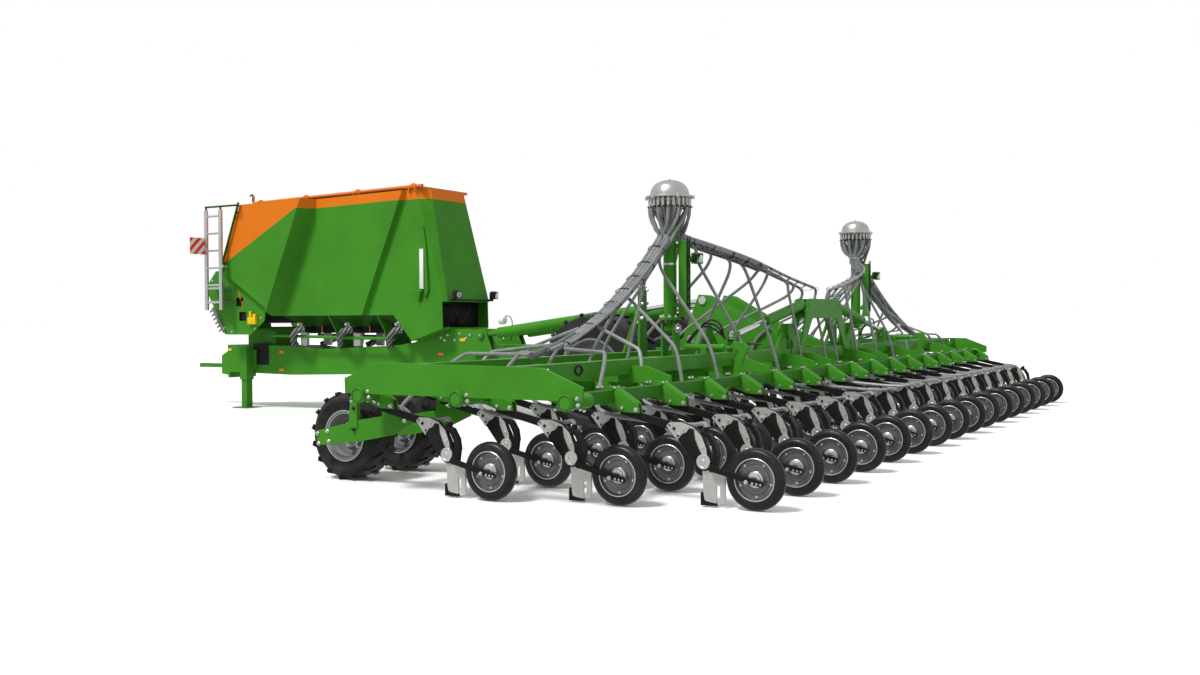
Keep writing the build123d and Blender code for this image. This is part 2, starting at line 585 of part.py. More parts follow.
def centre_hoses():
    """The ends of both inner bundles on the A-frame, with the hoses of the centre coulters."""
    shapes = [tube(CENTRE_ROUTE, BUNDLE, HOSE_BEND), tube(flip(CENTRE_ROUTE), BUNDLE, HOSE_BEND),
              round_y(BUNDLE + 8, CENTRE_ROUTE[-1][0], CENTRE_ROUTE[-1][2], -110, 110)]
    for row_name, row in ROWS:
        for y in coulter_places(row, -HINGE_Y, HINGE_Y):
            route = CENTRE_ROUTE if y > 0 else flip(CENTRE_ROUTE)
            shapes.append(drop(on_route(route, beside(y)), row_name, row, y, 0.1))
    return joined(shapes)


NODES["seed_hoses_left"] = [wing_hoses(1)]
NODES["seed_hoses_right"] = [wing_hoses(-1)]
NODES["seed_hoses_centre"] = [centre_hoses()]


# ---- centre of the tool frame -----------------------------------------------------------

def centre_frame():
    """Heavy beams of the centre, their hinge eyes and pins, and the four tall side plates."""
    half = HEAVY_BEAM / 2
    reach = HINGE_Y - WING_GAP
    shapes = []
    for beam_x in (REAR_BEAM_X, FRONT_BEAM_X):
        shapes.append(block(beam_x - half, beam_x + half, -reach, reach, HEAVY_LOW, HEAVY_TOP))
        offset = HEAVY_BEAM / 4 + EAR_GAP + 12
        for sign in (-1, 1):
            for x in (beam_x - offset, beam_x + offset):
                ears = hinge_ear(x, -1, 24)
                shapes += ears if sign > 0 else [mirrored(ear) for ear in ears]
            pin = round_x(HINGE_PIN - RUNNING, sign * HINGE_Y, HINGE_Z, beam_x - offset - 12, beam_x + offset + 12)
            shapes.append(pin)
    low = TOOL_TOP + SEAT
    rib = [(REAR_TOOL_X - 40, low), (FRONT_TOOL_X + 40, low), (FRONT_TOOL_X + 40, low + 60),
           (FRONT_BEAM_X + 200, RIB_TOP), (REAR_BEAM_X - 200, RIB_TOP), (REAR_TOOL_X - 40, low + 60)]
    shapes += [flat(rib, y, RIB) for y in (-750, 750)]
    side = [(REAR_BEAM_X - 50, HEAVY_LOW), (TILT_X + 100, HEAVY_LOW), (TILT_X + 110, TILT_Z),
            (LIFT_EYE_X + 80, LIFT_EYE_Z), (LIFT_EYE_X + 50, LIFT_EYE_Z + 70), (LIFT_EYE_X - 60, LIFT_EYE_Z + 60),
            (FRONT_BEAM_X - 300, 1260), (REAR_BEAM_X + 60, 1010), (REAR_BEAM_X - 50, HEAVY_TOP)]
    offset = (SIDE_GAP + SIDE_PLATE_FRAME) / 2
    for sign in (-1, 1):
        for y in (LIFT_Y - offset, LIFT_Y + offset):
            shapes.append(flat(side, sign * y, SIDE_PLATE_FRAME))
        pin_half = offset + SIDE_PLATE_FRAME / 2
        shapes.append(round_y(TILT_PIN - RUNNING, TILT_X, TILT_Z, sign * (LIFT_Y - pin_half), sign * (LIFT_Y + pin_half)))
    inner = LIFT_Y - offset
    shapes.append(block(2100, 2160, -inner, inner, 900, 1150))
    return joined(shapes)


def a_frame():
    """Two gable plates over the rear heavy beam that carry the fold cylinders between them."""
    low = RIB_TOP + 5
    gable = [(-800, low), (-690, low), (-400, 1290), (400, 1290), (690, low),
             (800, low), (560, 1400), (540, 1490), (460, 1505), (-460, 1505), (-540, 1490), (-560, 1400)]
    offset = HEAVY_BEAM / 2 + SEAT + 9
    shapes = [across(gable, REAR_BEAM_X + x, 18) for x in (-offset, offset)]
    shapes.append(block(REAR_BEAM_X - offset, REAR_BEAM_X + offset, -380, 380, 1340, 1500))
    for sign in (-1, 1):
        pin = round_x(FOLD_PIN - RUNNING, sign * FOLD_ANCHOR_Y, FOLD_ANCHOR_Z, REAR_BEAM_X - offset - 12,
                      REAR_BEAM_X + offset + 12)
        shapes.append(pin)
    return joined(shapes)


lift_barrel, lift_rod = cylinder_pair(
    (LIFT_ANCHOR_X, LIFT_Y, LIFT_ANCHOR_Z), (LIFT_EYE_X, LIFT_Y, LIFT_EYE_Z),
    (LIFT_BARREL, LIFT_BARREL_RADIUS), (LIFT_ROD, LIFT_ROD_RADIUS), LIFT_STROKE, LIFT_PIN, 76.0, (0, 1, 0), 240.0)
NODES["centre_frame"] = [centre_frame()]
NODES["a_frame"] = [a_frame()]
NODES["lift_barrels"] = [lift_barrel, mirrored(lift_barrel)]
NODES["lift_rods"] = [lift_rod, mirrored(lift_rod)]


# ---- cart -------------------------------------------------------------------------------

REAR_BLOCK_X = 3450.0
DRAWBAR_END_X = EYE_X - 850.0
NECK_HALF = 60.0
AXLE_SEAT_Z = ROAD_RADIUS + 60.0   # underside of the beam over the road axle
BEAM_TOP = 925.0               # top of the drawbar ahead of the hopper


def drawbar_beam():
    """The cart's main beam, from the tool frame's pivots to the hitch."""
    side = [(REAR_BLOCK_X, AXLE_SEAT_Z), (4100, AXLE_SEAT_Z), (6300, 580), (9400, 500), (DRAWBAR_END_X, 520),
            (DRAWBAR_END_X, BEAM_TOP), (9400, BEAM_TOP), (8800, 880), (7380, 950), (6990, 1010), (6480, 1170),
            (6200, 1170), (6000, 960), (4900, 960), (REAR_BLOCK_X, 930)]
    shapes = [flat(side, 0, 2 * BEAM_HALF)]
    for sign in (-1, 1):
        # lugs of the tilt pivots
        lug = [(REAR_BLOCK_X + 60, AXLE_SEAT_Z), (REAR_BLOCK_X + 60, 930), (3200, 940), (TILT_X + 30, TILT_Z + 86),
               (TILT_X - 85, TILT_Z + 30), (TILT_X - 60, TILT_Z - 70), (3100, 780)]
        shapes.append(flat(lug, sign * LIFT_Y, SIDE_GAP - 30))
        shapes.append(block(REAR_BLOCK_X, REAR_BLOCK_X + 60, sign * (BEAM_HALF - 20), sign * (LIFT_Y + 60), AXLE_SEAT_Z, 930))
        # anchors of the lift cylinders
        ear = [(5750, 900), (6120, 900), (6000, 1170), (5860, 1170)]
        for y in (LIFT_Y - 52, LIFT_Y + 52):
            shapes.append(flat(ear, sign * y, 20))
        shapes.append(block(5760, 6110, sign * (BEAM_HALF - 20), sign * (LIFT_Y + 62), 840, 910))
        shapes.append(round_y(LIFT_PIN - RUNNING, LIFT_ANCHOR_X, LIFT_ANCHOR_Z, sign * (LIFT_Y - 62), sign * (LIFT_Y + 62)))
    holes = [round_y(TILT_PIN, TILT_X, TILT_Z, sign * (LIFT_Y - 60), sign * (LIFT_Y + 60)) for sign in (-1, 1)]
    return joined(shapes) - joined(holes)


def hitch_head():
    """Bolted head block with the neck and the hitch eye."""
    x = DRAWBAR_END_X + SEAT
    flange = block(x, x + 40, -260, 260, 430, 930)
    box = flat([(x + 30, 450), (x + 300, 480), (x + 300, 760), (x + 30, 900)], 0, 300)
    neck = block(x + 290, EYE_X, -NECK_HALF, NECK_HALF, EYE_Z - EYE_THICK / 2, EYE_Z + EYE_THICK / 2)
    ring = round_z(EYE_RADIUS, EYE_X, 0, EYE_Z - EYE_THICK / 2, EYE_Z + EYE_THICK / 2)
    bore = round_z(EYE_BORE, EYE_X, 0, EYE_Z - EYE_THICK, EYE_Z + EYE_THICK)
    return flange + box + neck + ring - bore


def parking_leg():
    """The leg that holds the drawbar up when the tractor has gone."""
    x, y = 10250.0, BEAM_HALF + SEAT
    bracket_plate = block(x - 120, x + 120, y, y + 20, 560, 860)
    sleeve = block(x - 70, x + 70, y + 15, y + 155, 420, 900)
    leg = block(x - 55, x + 55, y + 30, y + 140, 12, 500)
    foot = block(x - 150, x + 150, y - 65, y + 235, 0, 14)
    return bracket_plate + sleeve + leg + foot


def axle():
    """Axle beam of the road wheels with its two stubs and its clamp plates."""
    reach = ROAD_Y - ROAD_WIDTH / 2 - 40
    beam = block(ROAD_X - 70, ROAD_X + 70, -reach, reach, ROAD_RADIUS - 70, ROAD_RADIUS + 50)
    saddle = block(ROAD_X - 160, ROAD_X + 160, -BEAM_HALF, BEAM_HALF, ROAD_RADIUS + 20, AXLE_SEAT_Z - SEAT)
    stubs = [round_y(ROAD_STUB - RUNNING, ROAD_X, ROAD_RADIUS, sign * (reach - 20), sign * (ROAD_Y + 110)) for sign in (-1, 1)]
    return joined([beam, saddle] + stubs)


def hopper_form(inset, top):
    """The hopper's outer form, or the same form inset by the wall, open to the height top."""
    side = [(6760, HOPPER_FLOOR), (9400, HOPPER_FLOOR), NOSE_LOW, NOSE, (RIM_FRONT_X, RIM_FRONT_Z),
            (RIM_REAR_X, HOPPER_TOP), (6420, LOCKER_TOP), (6760, LOCKER_TOP)]
    outline = make_face(Plane.XZ * Polyline(*side, close=True))
    if inset:
        outline = offset(outline, -inset, kind=Kind.INTERSECTION)
    body = extrude(outline, FRONT_HALF + 10, both=True)
    if inset:
        body += block(6820, 9880, -FRONT_HALF, FRONT_HALF, 2900, top)
    base = HOPPER_FLOOR - 20
    plan = [(5900, -REAR_HALF), (7810, -REAR_HALF), (7830, -MIDDLE_HALF), (9355, -MIDDLE_HALF), (9450, -FRONT_HALF),
            (11600, -FRONT_HALF), (11600, FRONT_HALF), (9450, FRONT_HALF), (9355, MIDDLE_HALF),
            (7830, MIDDLE_HALF), (7810, REAR_HALF), (5900, REAR_HALF)]
    footprint = make_face(Polyline(*plan, close=True))
    if inset:
        footprint = offset(footprint, -inset, kind=Kind.INTERSECTION)
    rise = top + 100 - base
    slanted = extrude(Pos(0, 0, base) * footprint, rise * math.hypot(1, STEP_LEAN), dir=Vector(STEP_LEAN, 0, 1))
    form = body & slanted
    corner = Plane(origin=(6420, 458, 1530), z_dir=(-213, 210, 63.7)) * Pos(0, 0, 500 - inset) * Box(6000, 6000, 1000)
    return form - corner - mirrored(corner)


def hopper_shell():
    """The seed hopper: welded sheet, open at the top under its cover."""
    return hopper_form(0, HOPPER_TOP) - hopper_form(HOPPER_WALL, HOPPER_TOP + 200)


def rim_z(x):
    """The height of the hopper's rim."""
    slope = (RIM_FRONT_Z - HOPPER_TOP) / (RIM_FRONT_X - RIM_REAR_X)
    return HOPPER_TOP + slope * (x - RIM_REAR_X) + SEAT


def hopper_cover():
    """Roll-over cover with its roller tube along the left edge."""
    rear, middle, front = RIM_REAR_X + 30, 8300, RIM_FRONT_X - 30
    sheet = flat([(rear, rim_z(rear)), (front, rim_z(front)), (front, rim_z(front) + 40),
                  (middle, rim_z(middle) + 75), (rear, rim_z(rear) + 35)], 0, 960)
    tube = shaft((rear, 500, rim_z(rear) + 45), (front + 60, 500, rim_z(front) + 45), 24)
    crank = shaft((front + 50, 500, rim_z(front) + 30), (front + 50, 500, rim_z(front) + 160), 10)
    return sheet + tube + crank


def funnels():
    """Three metering funnels under the hopper floor."""
    shapes = []
    for x in FUNNELS:
        top = Pos(x, 0, HOPPER_FLOOR - SEAT) * Rectangle(2 * FUNNEL_HALF, 2 * (REAR_HALF - 30))
        bottom = Pos(x, 0, METER_TOP) * Rectangle(240, 560)
        shapes.append(loft([bottom.faces()[0], top.faces()[0]]))
    return shapes


METER_TOP = 1200.0
METER_Z = 1160.0               # the outlets' axis
OUTLET_Y = 470.0
AIR_HOSE = 45.0


def meters():
    """A metering unit under each funnel, with one outlet on each side."""
    shapes = []
    for x in FUNNELS:
        unit = block(x - 110, x + 110, -270, 270, METER_Z - 50, METER_TOP - SEAT)
        shapes.append(unit + round_y(AIR_HOSE - 7, x, METER_Z, -OUTLET_Y, OUTLET_Y))
    return shapes


def air_hoses():
    """Corrugated hoses from the outlets down to the air duct in the main beam's top."""
    shapes = []
    for x in FUNNELS:
        foot = (x + 290, BEAM_HALF - AIR_HOSE - 15)
        route = [(x, OUTLET_Y + SEAT, METER_Z), (x, OUTLET_Y + 110, METER_Z), (x + 130, OUTLET_Y + 90, METER_Z - 90),
                 (*foot, METER_Z - 110), (*foot, beam_top_z(x + 290) + 14)]
        path = FilletPolyline(*route, radius=50)
        hose = sweep(Plane(origin=route[0], z_dir=(0, 1, 0)) * Circle(AIR_HOSE), path)
        shapes += [hose, mirrored(hose)]
    return shapes


def beam_top_z(x):
    """The height of the main beam's top under the hopper."""
    if x > 9400:
        return BEAM_TOP
    if x > 8800:
        return 880 + (BEAM_TOP - 880) * (x - 8800) / 600
    return 950 - 70 * (x - 7380) / 1420


def supports():
    """The locker and gussets under the hopper's rear end, and two webs between the funnels."""
    wall = REAR_HALF + SEAT
    saddle = flat([(6480, 1170 + SEAT), (6990, 1010 + SEAT), (7000, 1090), (6820, 1190), (6480, 1190)], 0, 2 * wall + 20)
    gusset = [(7300, 1350), (6900, 1535), (6480, 1535), (6470, 1180), (6990, 1010)]
    sides = [flat(gusset, sign * (wall + 6), 12) for sign in (-1, 1)]
    shapes = [joined([saddle] + sides)]
    for x in (FUNNELS[0] + FUNNELS[1]) / 2, (FUNNELS[1] + FUNNELS[2]) / 2:
        low = beam_top_z(x) + 2
        web = [(-250, low), (250, low), (300, 1150), (450, HOPPER_FLOOR - SEAT), (-450, HOPPER_FLOOR - SEAT), (-300, 1150)]
        shapes.append(across(web, x, 24))
    return shapes


CONSOLE_Y = FRONT_HALF - 100.0


def console():
    """Side plates under the hopper's nose, on cross tubes and a pedestal on the drawbar."""
    run = (NOSE[1] - NOSE_LOW[1]) / (NOSE[0] - NOSE_LOW[0])
    plate = [(9500, NOSE_LOW[1] + run * (9500 - NOSE_LOW[0]) - 1), (NOSE[0], NOSE[1] - 1), (10530, 2020), (10750, 1780),
             (10340, 1090), (9820, 1090), (9540, 1290)]
    shapes = [flat(plate, sign * CONSOLE_Y, 12) for sign in (-1, 1)]
    shapes += [round_y(40, x, z, -CONSOLE_Y, CONSOLE_Y) for x, z in ((9880, 1160), (10330, 1160), (10500, 1700))]
    shapes.append(block(9820, 10390, -220, 220, BEAM_TOP + SEAT, 1180))
    shapes.append(flat([(10280, 1170), (10400, 1170), (10560, 1720), (10440, 1720)], 0, 300))
    holes = [block(x, x + 150, sign * CONSOLE_Y - 20, sign * CONSOLE_Y + 20, z, z + 130)
             for sign in (-1, 1) for x, z in ((9900, 1290), (9960, 1500))]
    return joined(shapes) - joined(holes)


LADDER_Y = FRONT_HALF + 100.0
STILES = (10200.0, 10500.0)


def ladder():
    """Aluminium ladder on the left, with its brackets to the console's side plate."""
    shapes = [block(x - 30, x + 30, LADDER_Y - 13, LADDER_Y + 13, 1450, 2900) for x in STILES]
    shapes += [shaft((STILES[0], LADDER_Y, z), (STILES[1], LADDER_Y, z), 15) for z in range(1560, 2850, 250)]
    for z in (1550, 1750):
        shapes.append(block(STILES[0], STILES[1] + 20, CONSOLE_Y + 6 + SEAT, LADDER_Y, z, z + 30))
    shapes.append(block(STILES[0] - 60, STILES[0], FRONT_HALF + SEAT, LADDER_Y + 13, 2060, 2100))
    return joined(shapes)


def handrails():
    """Green grab rails beside the hopper's front edge and behind the ladder's head."""
    y = FRONT_HALF + 34
    rail = shaft((10290, y, 2010), (9900, y, 2990), 16)
    stays = [round_y(14, x, z, FRONT_HALF + SEAT, y) for x, z in ((10240, 2130), (9950, 2850))]
    hoop = shaft((STILES[0], LADDER_Y, 2900 + SEAT), (STILES[0], LADDER_Y, 2960), 14)
    hoop += shaft((STILES[1], LADDER_Y, 2900 + SEAT), (STILES[1], LADDER_Y, 2960), 14)
    hoop += shaft((STILES[1] + 14, LADDER_Y, 2946), (9880, LADDER_Y, 2946), 14)
    hoop += shaft((9894, LADDER_Y + 14, 2946), (9894, y, 2946), 14)
    return joined([rail, hoop] + stays)


def marker_panels():
    """Square warning boards: one at the ladder's head and a pair behind the locker."""
    front = block(STILES[1] + 30 + SEAT, STILES[1] + 34, LADDER_Y - 13, LADDER_Y + 270, 2260, 2500)
    return [front]


def rear_lamps():
    """Two work lamps on a rail under the hopper's rear wall."""
    rail = round_y(14, 6370, 1556, -470, 470)
    posts = [block(6370, 6440, sign * 330 - 10, sign * 330 + 10, 1546, 1566) for sign in (-1, 1)]
    lamps = [block(6270, 6345, sign * 414 - 50, sign * 414 + 50, 1575, 1665) for sign in (-1, 1)]
    stems = [block(6320, 6375, sign * 414 - 10, sign * 414 + 10, 1550, 1590) for sign in (-1, 1)]
    hopper = hopper_form(0, HOPPER_TOP)
    return joined([rail] + posts + lamps + stems) - hopper


NODES["drawbar_beam"] = [drawbar_beam()]
NODES["hitch_head"] = [hitch_head()]
NODES["parking_leg"] = [parking_leg()]
NODES["road_axle"] = [axle()]
NODES["hopper_shell"] = [hopper_shell()]
NODES["hopper_cover"] = [hopper_cover()]
NODES["hopper_funnels"] = funnels()
NODES["metering_units"] = meters()
NODES["air_hoses"] = air_hoses()
NODES["hopper_supports"] = supports()
NODES["front_console"] = [console()]
NODES["ladder"] = [ladder()]
NODES["handrails"] = [handrails()]
NODES["marker_panels"] = marker_panels()
NODES["rear_lamps"] = [rear_lamps()]


# ---- writing ----------------------------------------------------------------------------

MIDDLE_X = (EYE_X + EYE_RADIUS - PRESS_RADIUS) / 2


def place(shapes):
    moved = [Pos(-MIDDLE_X, 0, 0) * shape for shape in shapes]
    return moved[0] if len(moved) == 1 else Compound(children=moved)


os.makedirs("parts", exist_ok=True)
for name, shapes in NODES.items():
    export_step(place(shapes), f"parts/{name}.step")
print(len(NODES), "nodes, middle X", MIDDLE_X)
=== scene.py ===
import math
from functools import partialmethod

import bmesh
import bpy
from mathutils import Matrix, Vector


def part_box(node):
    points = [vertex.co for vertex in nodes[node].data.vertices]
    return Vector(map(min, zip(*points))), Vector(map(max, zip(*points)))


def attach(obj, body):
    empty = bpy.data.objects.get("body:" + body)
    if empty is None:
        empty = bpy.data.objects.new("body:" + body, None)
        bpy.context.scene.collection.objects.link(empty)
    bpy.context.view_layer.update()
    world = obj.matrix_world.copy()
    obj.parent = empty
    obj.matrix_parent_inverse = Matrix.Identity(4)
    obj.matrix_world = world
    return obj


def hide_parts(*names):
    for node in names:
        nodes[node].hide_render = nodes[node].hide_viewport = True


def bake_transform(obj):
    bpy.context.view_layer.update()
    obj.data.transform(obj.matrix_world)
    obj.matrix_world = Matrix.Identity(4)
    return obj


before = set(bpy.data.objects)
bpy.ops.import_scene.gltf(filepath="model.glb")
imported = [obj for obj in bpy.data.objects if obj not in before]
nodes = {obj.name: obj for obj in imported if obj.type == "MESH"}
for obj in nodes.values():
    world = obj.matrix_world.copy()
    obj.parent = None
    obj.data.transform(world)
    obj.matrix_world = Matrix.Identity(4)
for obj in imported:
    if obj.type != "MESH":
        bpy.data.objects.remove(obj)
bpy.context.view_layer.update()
scene = bpy.context.scene


# ---- where it stands ----
# The machine stands unfolded on a plain pale floor in a bright hall. One broad lamp high on
# its left front side lights it, and the white walls all round fill the shade.

FLOOR_SIZE = 400.0
WALL_SHADE = 0.67              # how brightly the walls light what stands between them
LAMP_POWER = 2.7
LAMP_WIDTH = 12.0              # degrees of the sky
LAMP_FROM = (0.22, 0.62, 1.0)

floor_mesh = bmesh.new()
bmesh.ops.create_grid(floor_mesh, x_segments=1, y_segments=1, size=FLOOR_SIZE / 2)
floor_data = bpy.data.meshes.new("floor")
floor_mesh.to_mesh(floor_data)
floor_mesh.free()
floor = bpy.data.objects.new("floor", floor_data)
scene.collection.objects.link(floor)
floor_finish = bpy.data.materials.new("pale_floor")
floor_finish.use_nodes = True
floor_shader = floor_finish.node_tree.nodes["Principled BSDF"]
floor_shader.inputs["Base Color"].default_value = (0.93, 0.93, 0.93, 1)
floor_shader.inputs["Roughness"].default_value = 0.9
floor_shader.inputs["Specular IOR Level"].default_value = 0.1
floor_data.materials.append(floor_finish)
floor.visible_diffuse = False        # it throws no light up, so what faces it stays dark
floor.visible_glossy = False

walls = bpy.data.worlds.new("white_walls")
scene.world = walls
walls.use_nodes = True
wall_nodes = walls.node_tree.nodes
ray = wall_nodes.new("ShaderNodeLightPath")
in_view = wall_nodes.new("ShaderNodeMath")
in_view.operation = "MAXIMUM"
wall_light = wall_nodes.new("ShaderNodeMapRange")
wall_light.inputs["To Min"].default_value = WALL_SHADE
link = walls.node_tree.links.new
link(ray.outputs["Is Camera Ray"], in_view.inputs[0])
link(ray.outputs["Is Transmission Ray"], in_view.inputs[1])
link(in_view.outputs[0], wall_light.inputs["Value"])
link(wall_light.outputs[0], wall_nodes["Background"].inputs["Strength"])
wall_nodes["Background"].inputs["Color"].default_value = (1, 1, 1, 1)

lamp_data = bpy.data.lights.new("hall_lamp", "SUN")
lamp_data.energy = LAMP_POWER
lamp_data.angle = math.radians(LAMP_WIDTH)
lamp = bpy.data.objects.new("hall_lamp", lamp_data)
lamp.rotation_euler = Vector(LAMP_FROM).to_track_quat("Z", "Y").to_euler()
scene.collection.objects.link(lamp)

CAMERA_PLACE = (-8.76875, 12.584, 1.293)
CAMERA_RIGHT = (-0.86176347, -0.50728686, -0.00487379)
CAMERA_UP = (0.00391835, -0.0162626, 0.99986008)
CAMERA_AHEAD = (0.50729514, -0.8616238, -0.01600224)
camera_data = bpy.data.cameras.new("camera")
camera_data.sensor_width = 36.0
camera_data.lens = 34.788
camera_data.clip_end = 1000.0
camera = bpy.data.objects.new("camera", camera_data)
turn = Matrix((CAMERA_RIGHT, CAMERA_UP, [-a for a in CAMERA_AHEAD])).transposed().to_4x4()
camera.matrix_world = Matrix.Translation(CAMERA_PLACE) @ turn
scene.collection.objects.link(camera)
scene.camera = camera
scene.view_settings.view_transform = "Standard"


# ---- tool beams ----
# Square steel tubes in three rows, welded, primed and sprayed with a glossy green paint.
# The paint has a faint orange peel and a paler edge where it lies thin on the corners.

class Socket:
    """An output in a finish's node tree. Arithmetic on it adds Math nodes."""

    def __init__(self, finish, socket):
        self.finish = finish
        self.socket = socket

    def maths(self, operation, other):
        return self.finish.node("Math", {"operation": operation}, {0: self, 1: other})

    def __rsub__(self, other):
        return self.finish.node("Math", {"operation": "SUBTRACT"}, {0: other, 1: self})

    __add__ = partialmethod(maths, "ADD")
    __sub__ = partialmethod(maths, "SUBTRACT")
    __mul__ = partialmethod(maths, "MULTIPLY")
    __mod__ = partialmethod(maths, "FLOORED_MODULO")
    __gt__ = partialmethod(maths, "GREATER_THAN")
    __lt__ = partialmethod(maths, "LESS_THAN")
    larger = partialmethod(maths, "MAXIMUM")


class Finish:
    """One surface finish: a Principled shader with steady values, and nodes that vary it."""

    def __init__(self, name, **steady):
        self.material = bpy.data.materials.new(name)
        self.material.use_nodes = True
        self.tree = self.material.node_tree
        self.shader = self.tree.nodes["Principled BSDF"]
        for socket, value in steady.items():
            self.shader.inputs[socket.replace("_", " ")].default_value = value

    def node(self, kind, settings=None, inputs=None, output=0):
        """A new shader node, with its settings and with what its inputs take, as its output."""
        made = self.tree.nodes.new("ShaderNode" + kind)
        for name, value in (settings or {}).items():
            setattr(made, name, value)
        for name, value in (inputs or {}).items():
            if isinstance(value, Socket):
                self.tree.links.new(value.socket, made.inputs[name])
            else:
                made.inputs[name].default_value = value
        return Socket(self, made.outputs[output])

    def where(self):
        return self.node("TexCoord", output="Object")

    def noise(self, scale, detail, stretch=(1, 1, 1)):
        place = self.node("Mapping", None, {"Vector": self.where(), "Scale": stretch})
        return self.node("TexNoise", None, {"Vector": place, "Scale": scale, "Detail": detail})

    def cells(self, scale):
        return self.node("TexVoronoi", None, {"Vector": self.where(), "Scale": scale})

    def blend(self, amount, low, high):
        """low where amount is 0 and high where it is 1; both are colours or colour sockets."""
        made = self.tree.nodes.new("ShaderNodeMix")
        made.data_type = "RGBA"
        for place, value in ((0, amount), (6, low), (7, high)):
            if isinstance(value, Socket):
                self.tree.links.new(value.socket, made.inputs[place])
            elif place:
                made.inputs[place].default_value = (*value, 1)
            else:
                made.inputs[place].default_value = value
        return Socket(self, made.outputs[2])

    def band(self, value, low, high, start=0.0, end=1.0):
        return self.node("MapRange", None, {"Value": value, "From Min": low, "From Max": high,
                                            "To Min": start, "To Max": end})

    def spread(self, value, low, high):
        """A noise's middle range, as a value from low to high."""
        return self.band(value, 0.3, 0.7, low, high)

    def edge_and_normals(self, radius, flat, low, high):
        """Where the edges lie, the rounded normal and the true one; flat is for folded sheet."""
        true = self.node("NewGeometry", output="True Normal" if flat else "Normal")
        rounded = self.node("Bevel", {"samples": 4}, {"Radius": radius, "Normal": true})
        facing = self.node("VectorMath", {"operation": "DOT_PRODUCT"}, {0: rounded, 1: true},
                           "Value")
        return self.band(facing, low, high), rounded, true

    def bump(self, height, depth, strength, normal=None):
        inputs = {"Height": height, "Distance": depth, "Strength": strength}
        if normal is not None:
            inputs["Normal"] = normal
        return self.node("Bump", None, inputs)

    def along(self, axis):
        """The surface's X, Y or Z, in metres."""
        return self.node("SeparateXYZ", None, {0: self.where()}, axis)

    def vary(self, **sockets):
        for name, value in sockets.items():
            self.tree.links.new(value.socket, self.shader.inputs[name.replace("_", " ")])
        return self.material


def dress(names, material):
    """Gives CAD nodes whose names start with any of these a finish."""
    for name, node in nodes.items():
        if name.startswith(names):
            for place in node.material_slots:
                place.material = material


def shade_of(colour, share, more=0.0):
    return [min(1.0, share * part + more) for part in colour]


def painted(name, colour, roughness=0.32, coat=0.02, other=None, covered=None, flat=False):
    """Sprayed gloss paint: broad faint tone changes, orange peel and thin pale edges.

    covered makes the mask under which the paint has the other colour instead, and flat is for
    folded sheet, whose faces meet at slight angles.
    """
    paint = Finish(name, Coat_Weight=coat, Coat_Roughness=0.12, Specular_IOR_Level=0.08)
    edge, rounded, true = paint.edge_and_normals(0.006, flat, 0.995, 0.86)
    tone = paint.band(paint.noise(1.7, 4.0), 0.35, 0.65)
    base = paint.blend(tone, shade_of(colour, 0.9), shade_of(colour, 1.07))
    if other:
        base = paint.blend(covered(paint), base, paint.blend(tone, shade_of(other, 0.92), other))
    return paint.vary(
        Base_Color=paint.blend(edge * 0.5, base, shade_of(colour, 1.5, 0.02)),
        Roughness=paint.spread(paint.noise(6.0, 5.0), roughness - 0.05, roughness + 0.09),
        Normal=paint.bump(paint.noise(900.0, 1.0), 0.00012, 0.5, true if flat else rounded))


def mottled(name, low, high, patches, edges, rough, peel=None, depth=0.0, strength=0.0,
            gloss=None, **steady):
    """A finish that goes from low to high over patches of noise, with its own roughness and bump.

    patches, peel and gloss are a noise's scale, detail and stretch; without its own noise, the
    bump or the roughness follows the patches.
    """
    finish = Finish(name, **steady)
    tone = finish.noise(*patches)
    sockets = {"Base_Color": finish.blend(finish.band(tone, *edges), low, high),
               "Roughness": finish.spread(finish.noise(*gloss) if gloss else tone, *rough)}
    if depth:
        sockets["Normal"] = finish.bump(finish.noise(*peel) if peel else tone, depth, strength)
    return finish.vary(**sockets)


GREEN = (0.052, 0.245, 0.018)
green_paint = painted("green_paint", GREEN)
# painted shade: the tool beams get a darker copy of the same green paint
beam_painted_shade = painted("beam_painted_shade", (0.036, 0.165, 0.013), 0.34)
dress(("tool_beams",), beam_painted_shade)
dress(("wing_frame", "adjuster", "centre_frame", "a_frame", "guide_arm", "mast", "fold_barrel",
       "lift_barrels", "road_axle", "parking_leg"), green_paint)


# ---- press wheels ----
# Narrow wheels that close the seed furrow: a smooth round rubber tyre between two pressed
# halves of zinc-plated steel, which are bolted together round a turned hub.

MM = 0.001
ROW_STEP = 0.91
SPACING = 0.25
LAST_COULTER = 5.375           # Y of the outermost coulter of the rear row
ROW_COULTERS = 16
ROWS = {"rear": 0, "middle": 1, "front": 2}
HINGE_Y = 1.0
TIP_Y = 6.05
SECTIONS = {"left": (HINGE_Y, TIP_Y), "centre": (-HINGE_Y, HINGE_Y), "right": (-TIP_Y, -HINGE_Y)}
CARRIERS = {"left": "wing_left", "centre": "tool_frame", "right": "wing_right"}
REAR_AXLES = sum(corner.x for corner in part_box("press_wheels_rear_left")) / 2
AXLE_HEIGHT = sum(corner.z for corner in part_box("press_wheels_rear_left")) / 2
TO_LEFT = Matrix.Rotation(math.radians(-90), 4, "X")
TO_RIGHT = Matrix.Rotation(math.radians(90), 4, "X")
TO_FRONT = Matrix.Rotation(math.radians(90), 4, "Y")
TO_REAR = Matrix.Rotation(math.radians(-90), 4, "Y")
UPSIDE_DOWN = Matrix.Rotation(math.pi, 4, "X")
AS_IT_IS = Matrix.Identity(4)
MIRRORED = Matrix.Scale(-1, 4, (0, 1, 0))
HALVES = (("left", AS_IT_IS), ("right", MIRRORED))


def coulters(row, low, high):
    """The Y of every coulter of a row between these two."""
    outermost = LAST_COULTER + SPACING * row
    every = [outermost - 3 * SPACING * i for i in range(ROW_COULTERS)]
    return [y for y in every if low < y < high]


def shift(x, y, z):
    return Matrix.Translation((x, y, z))


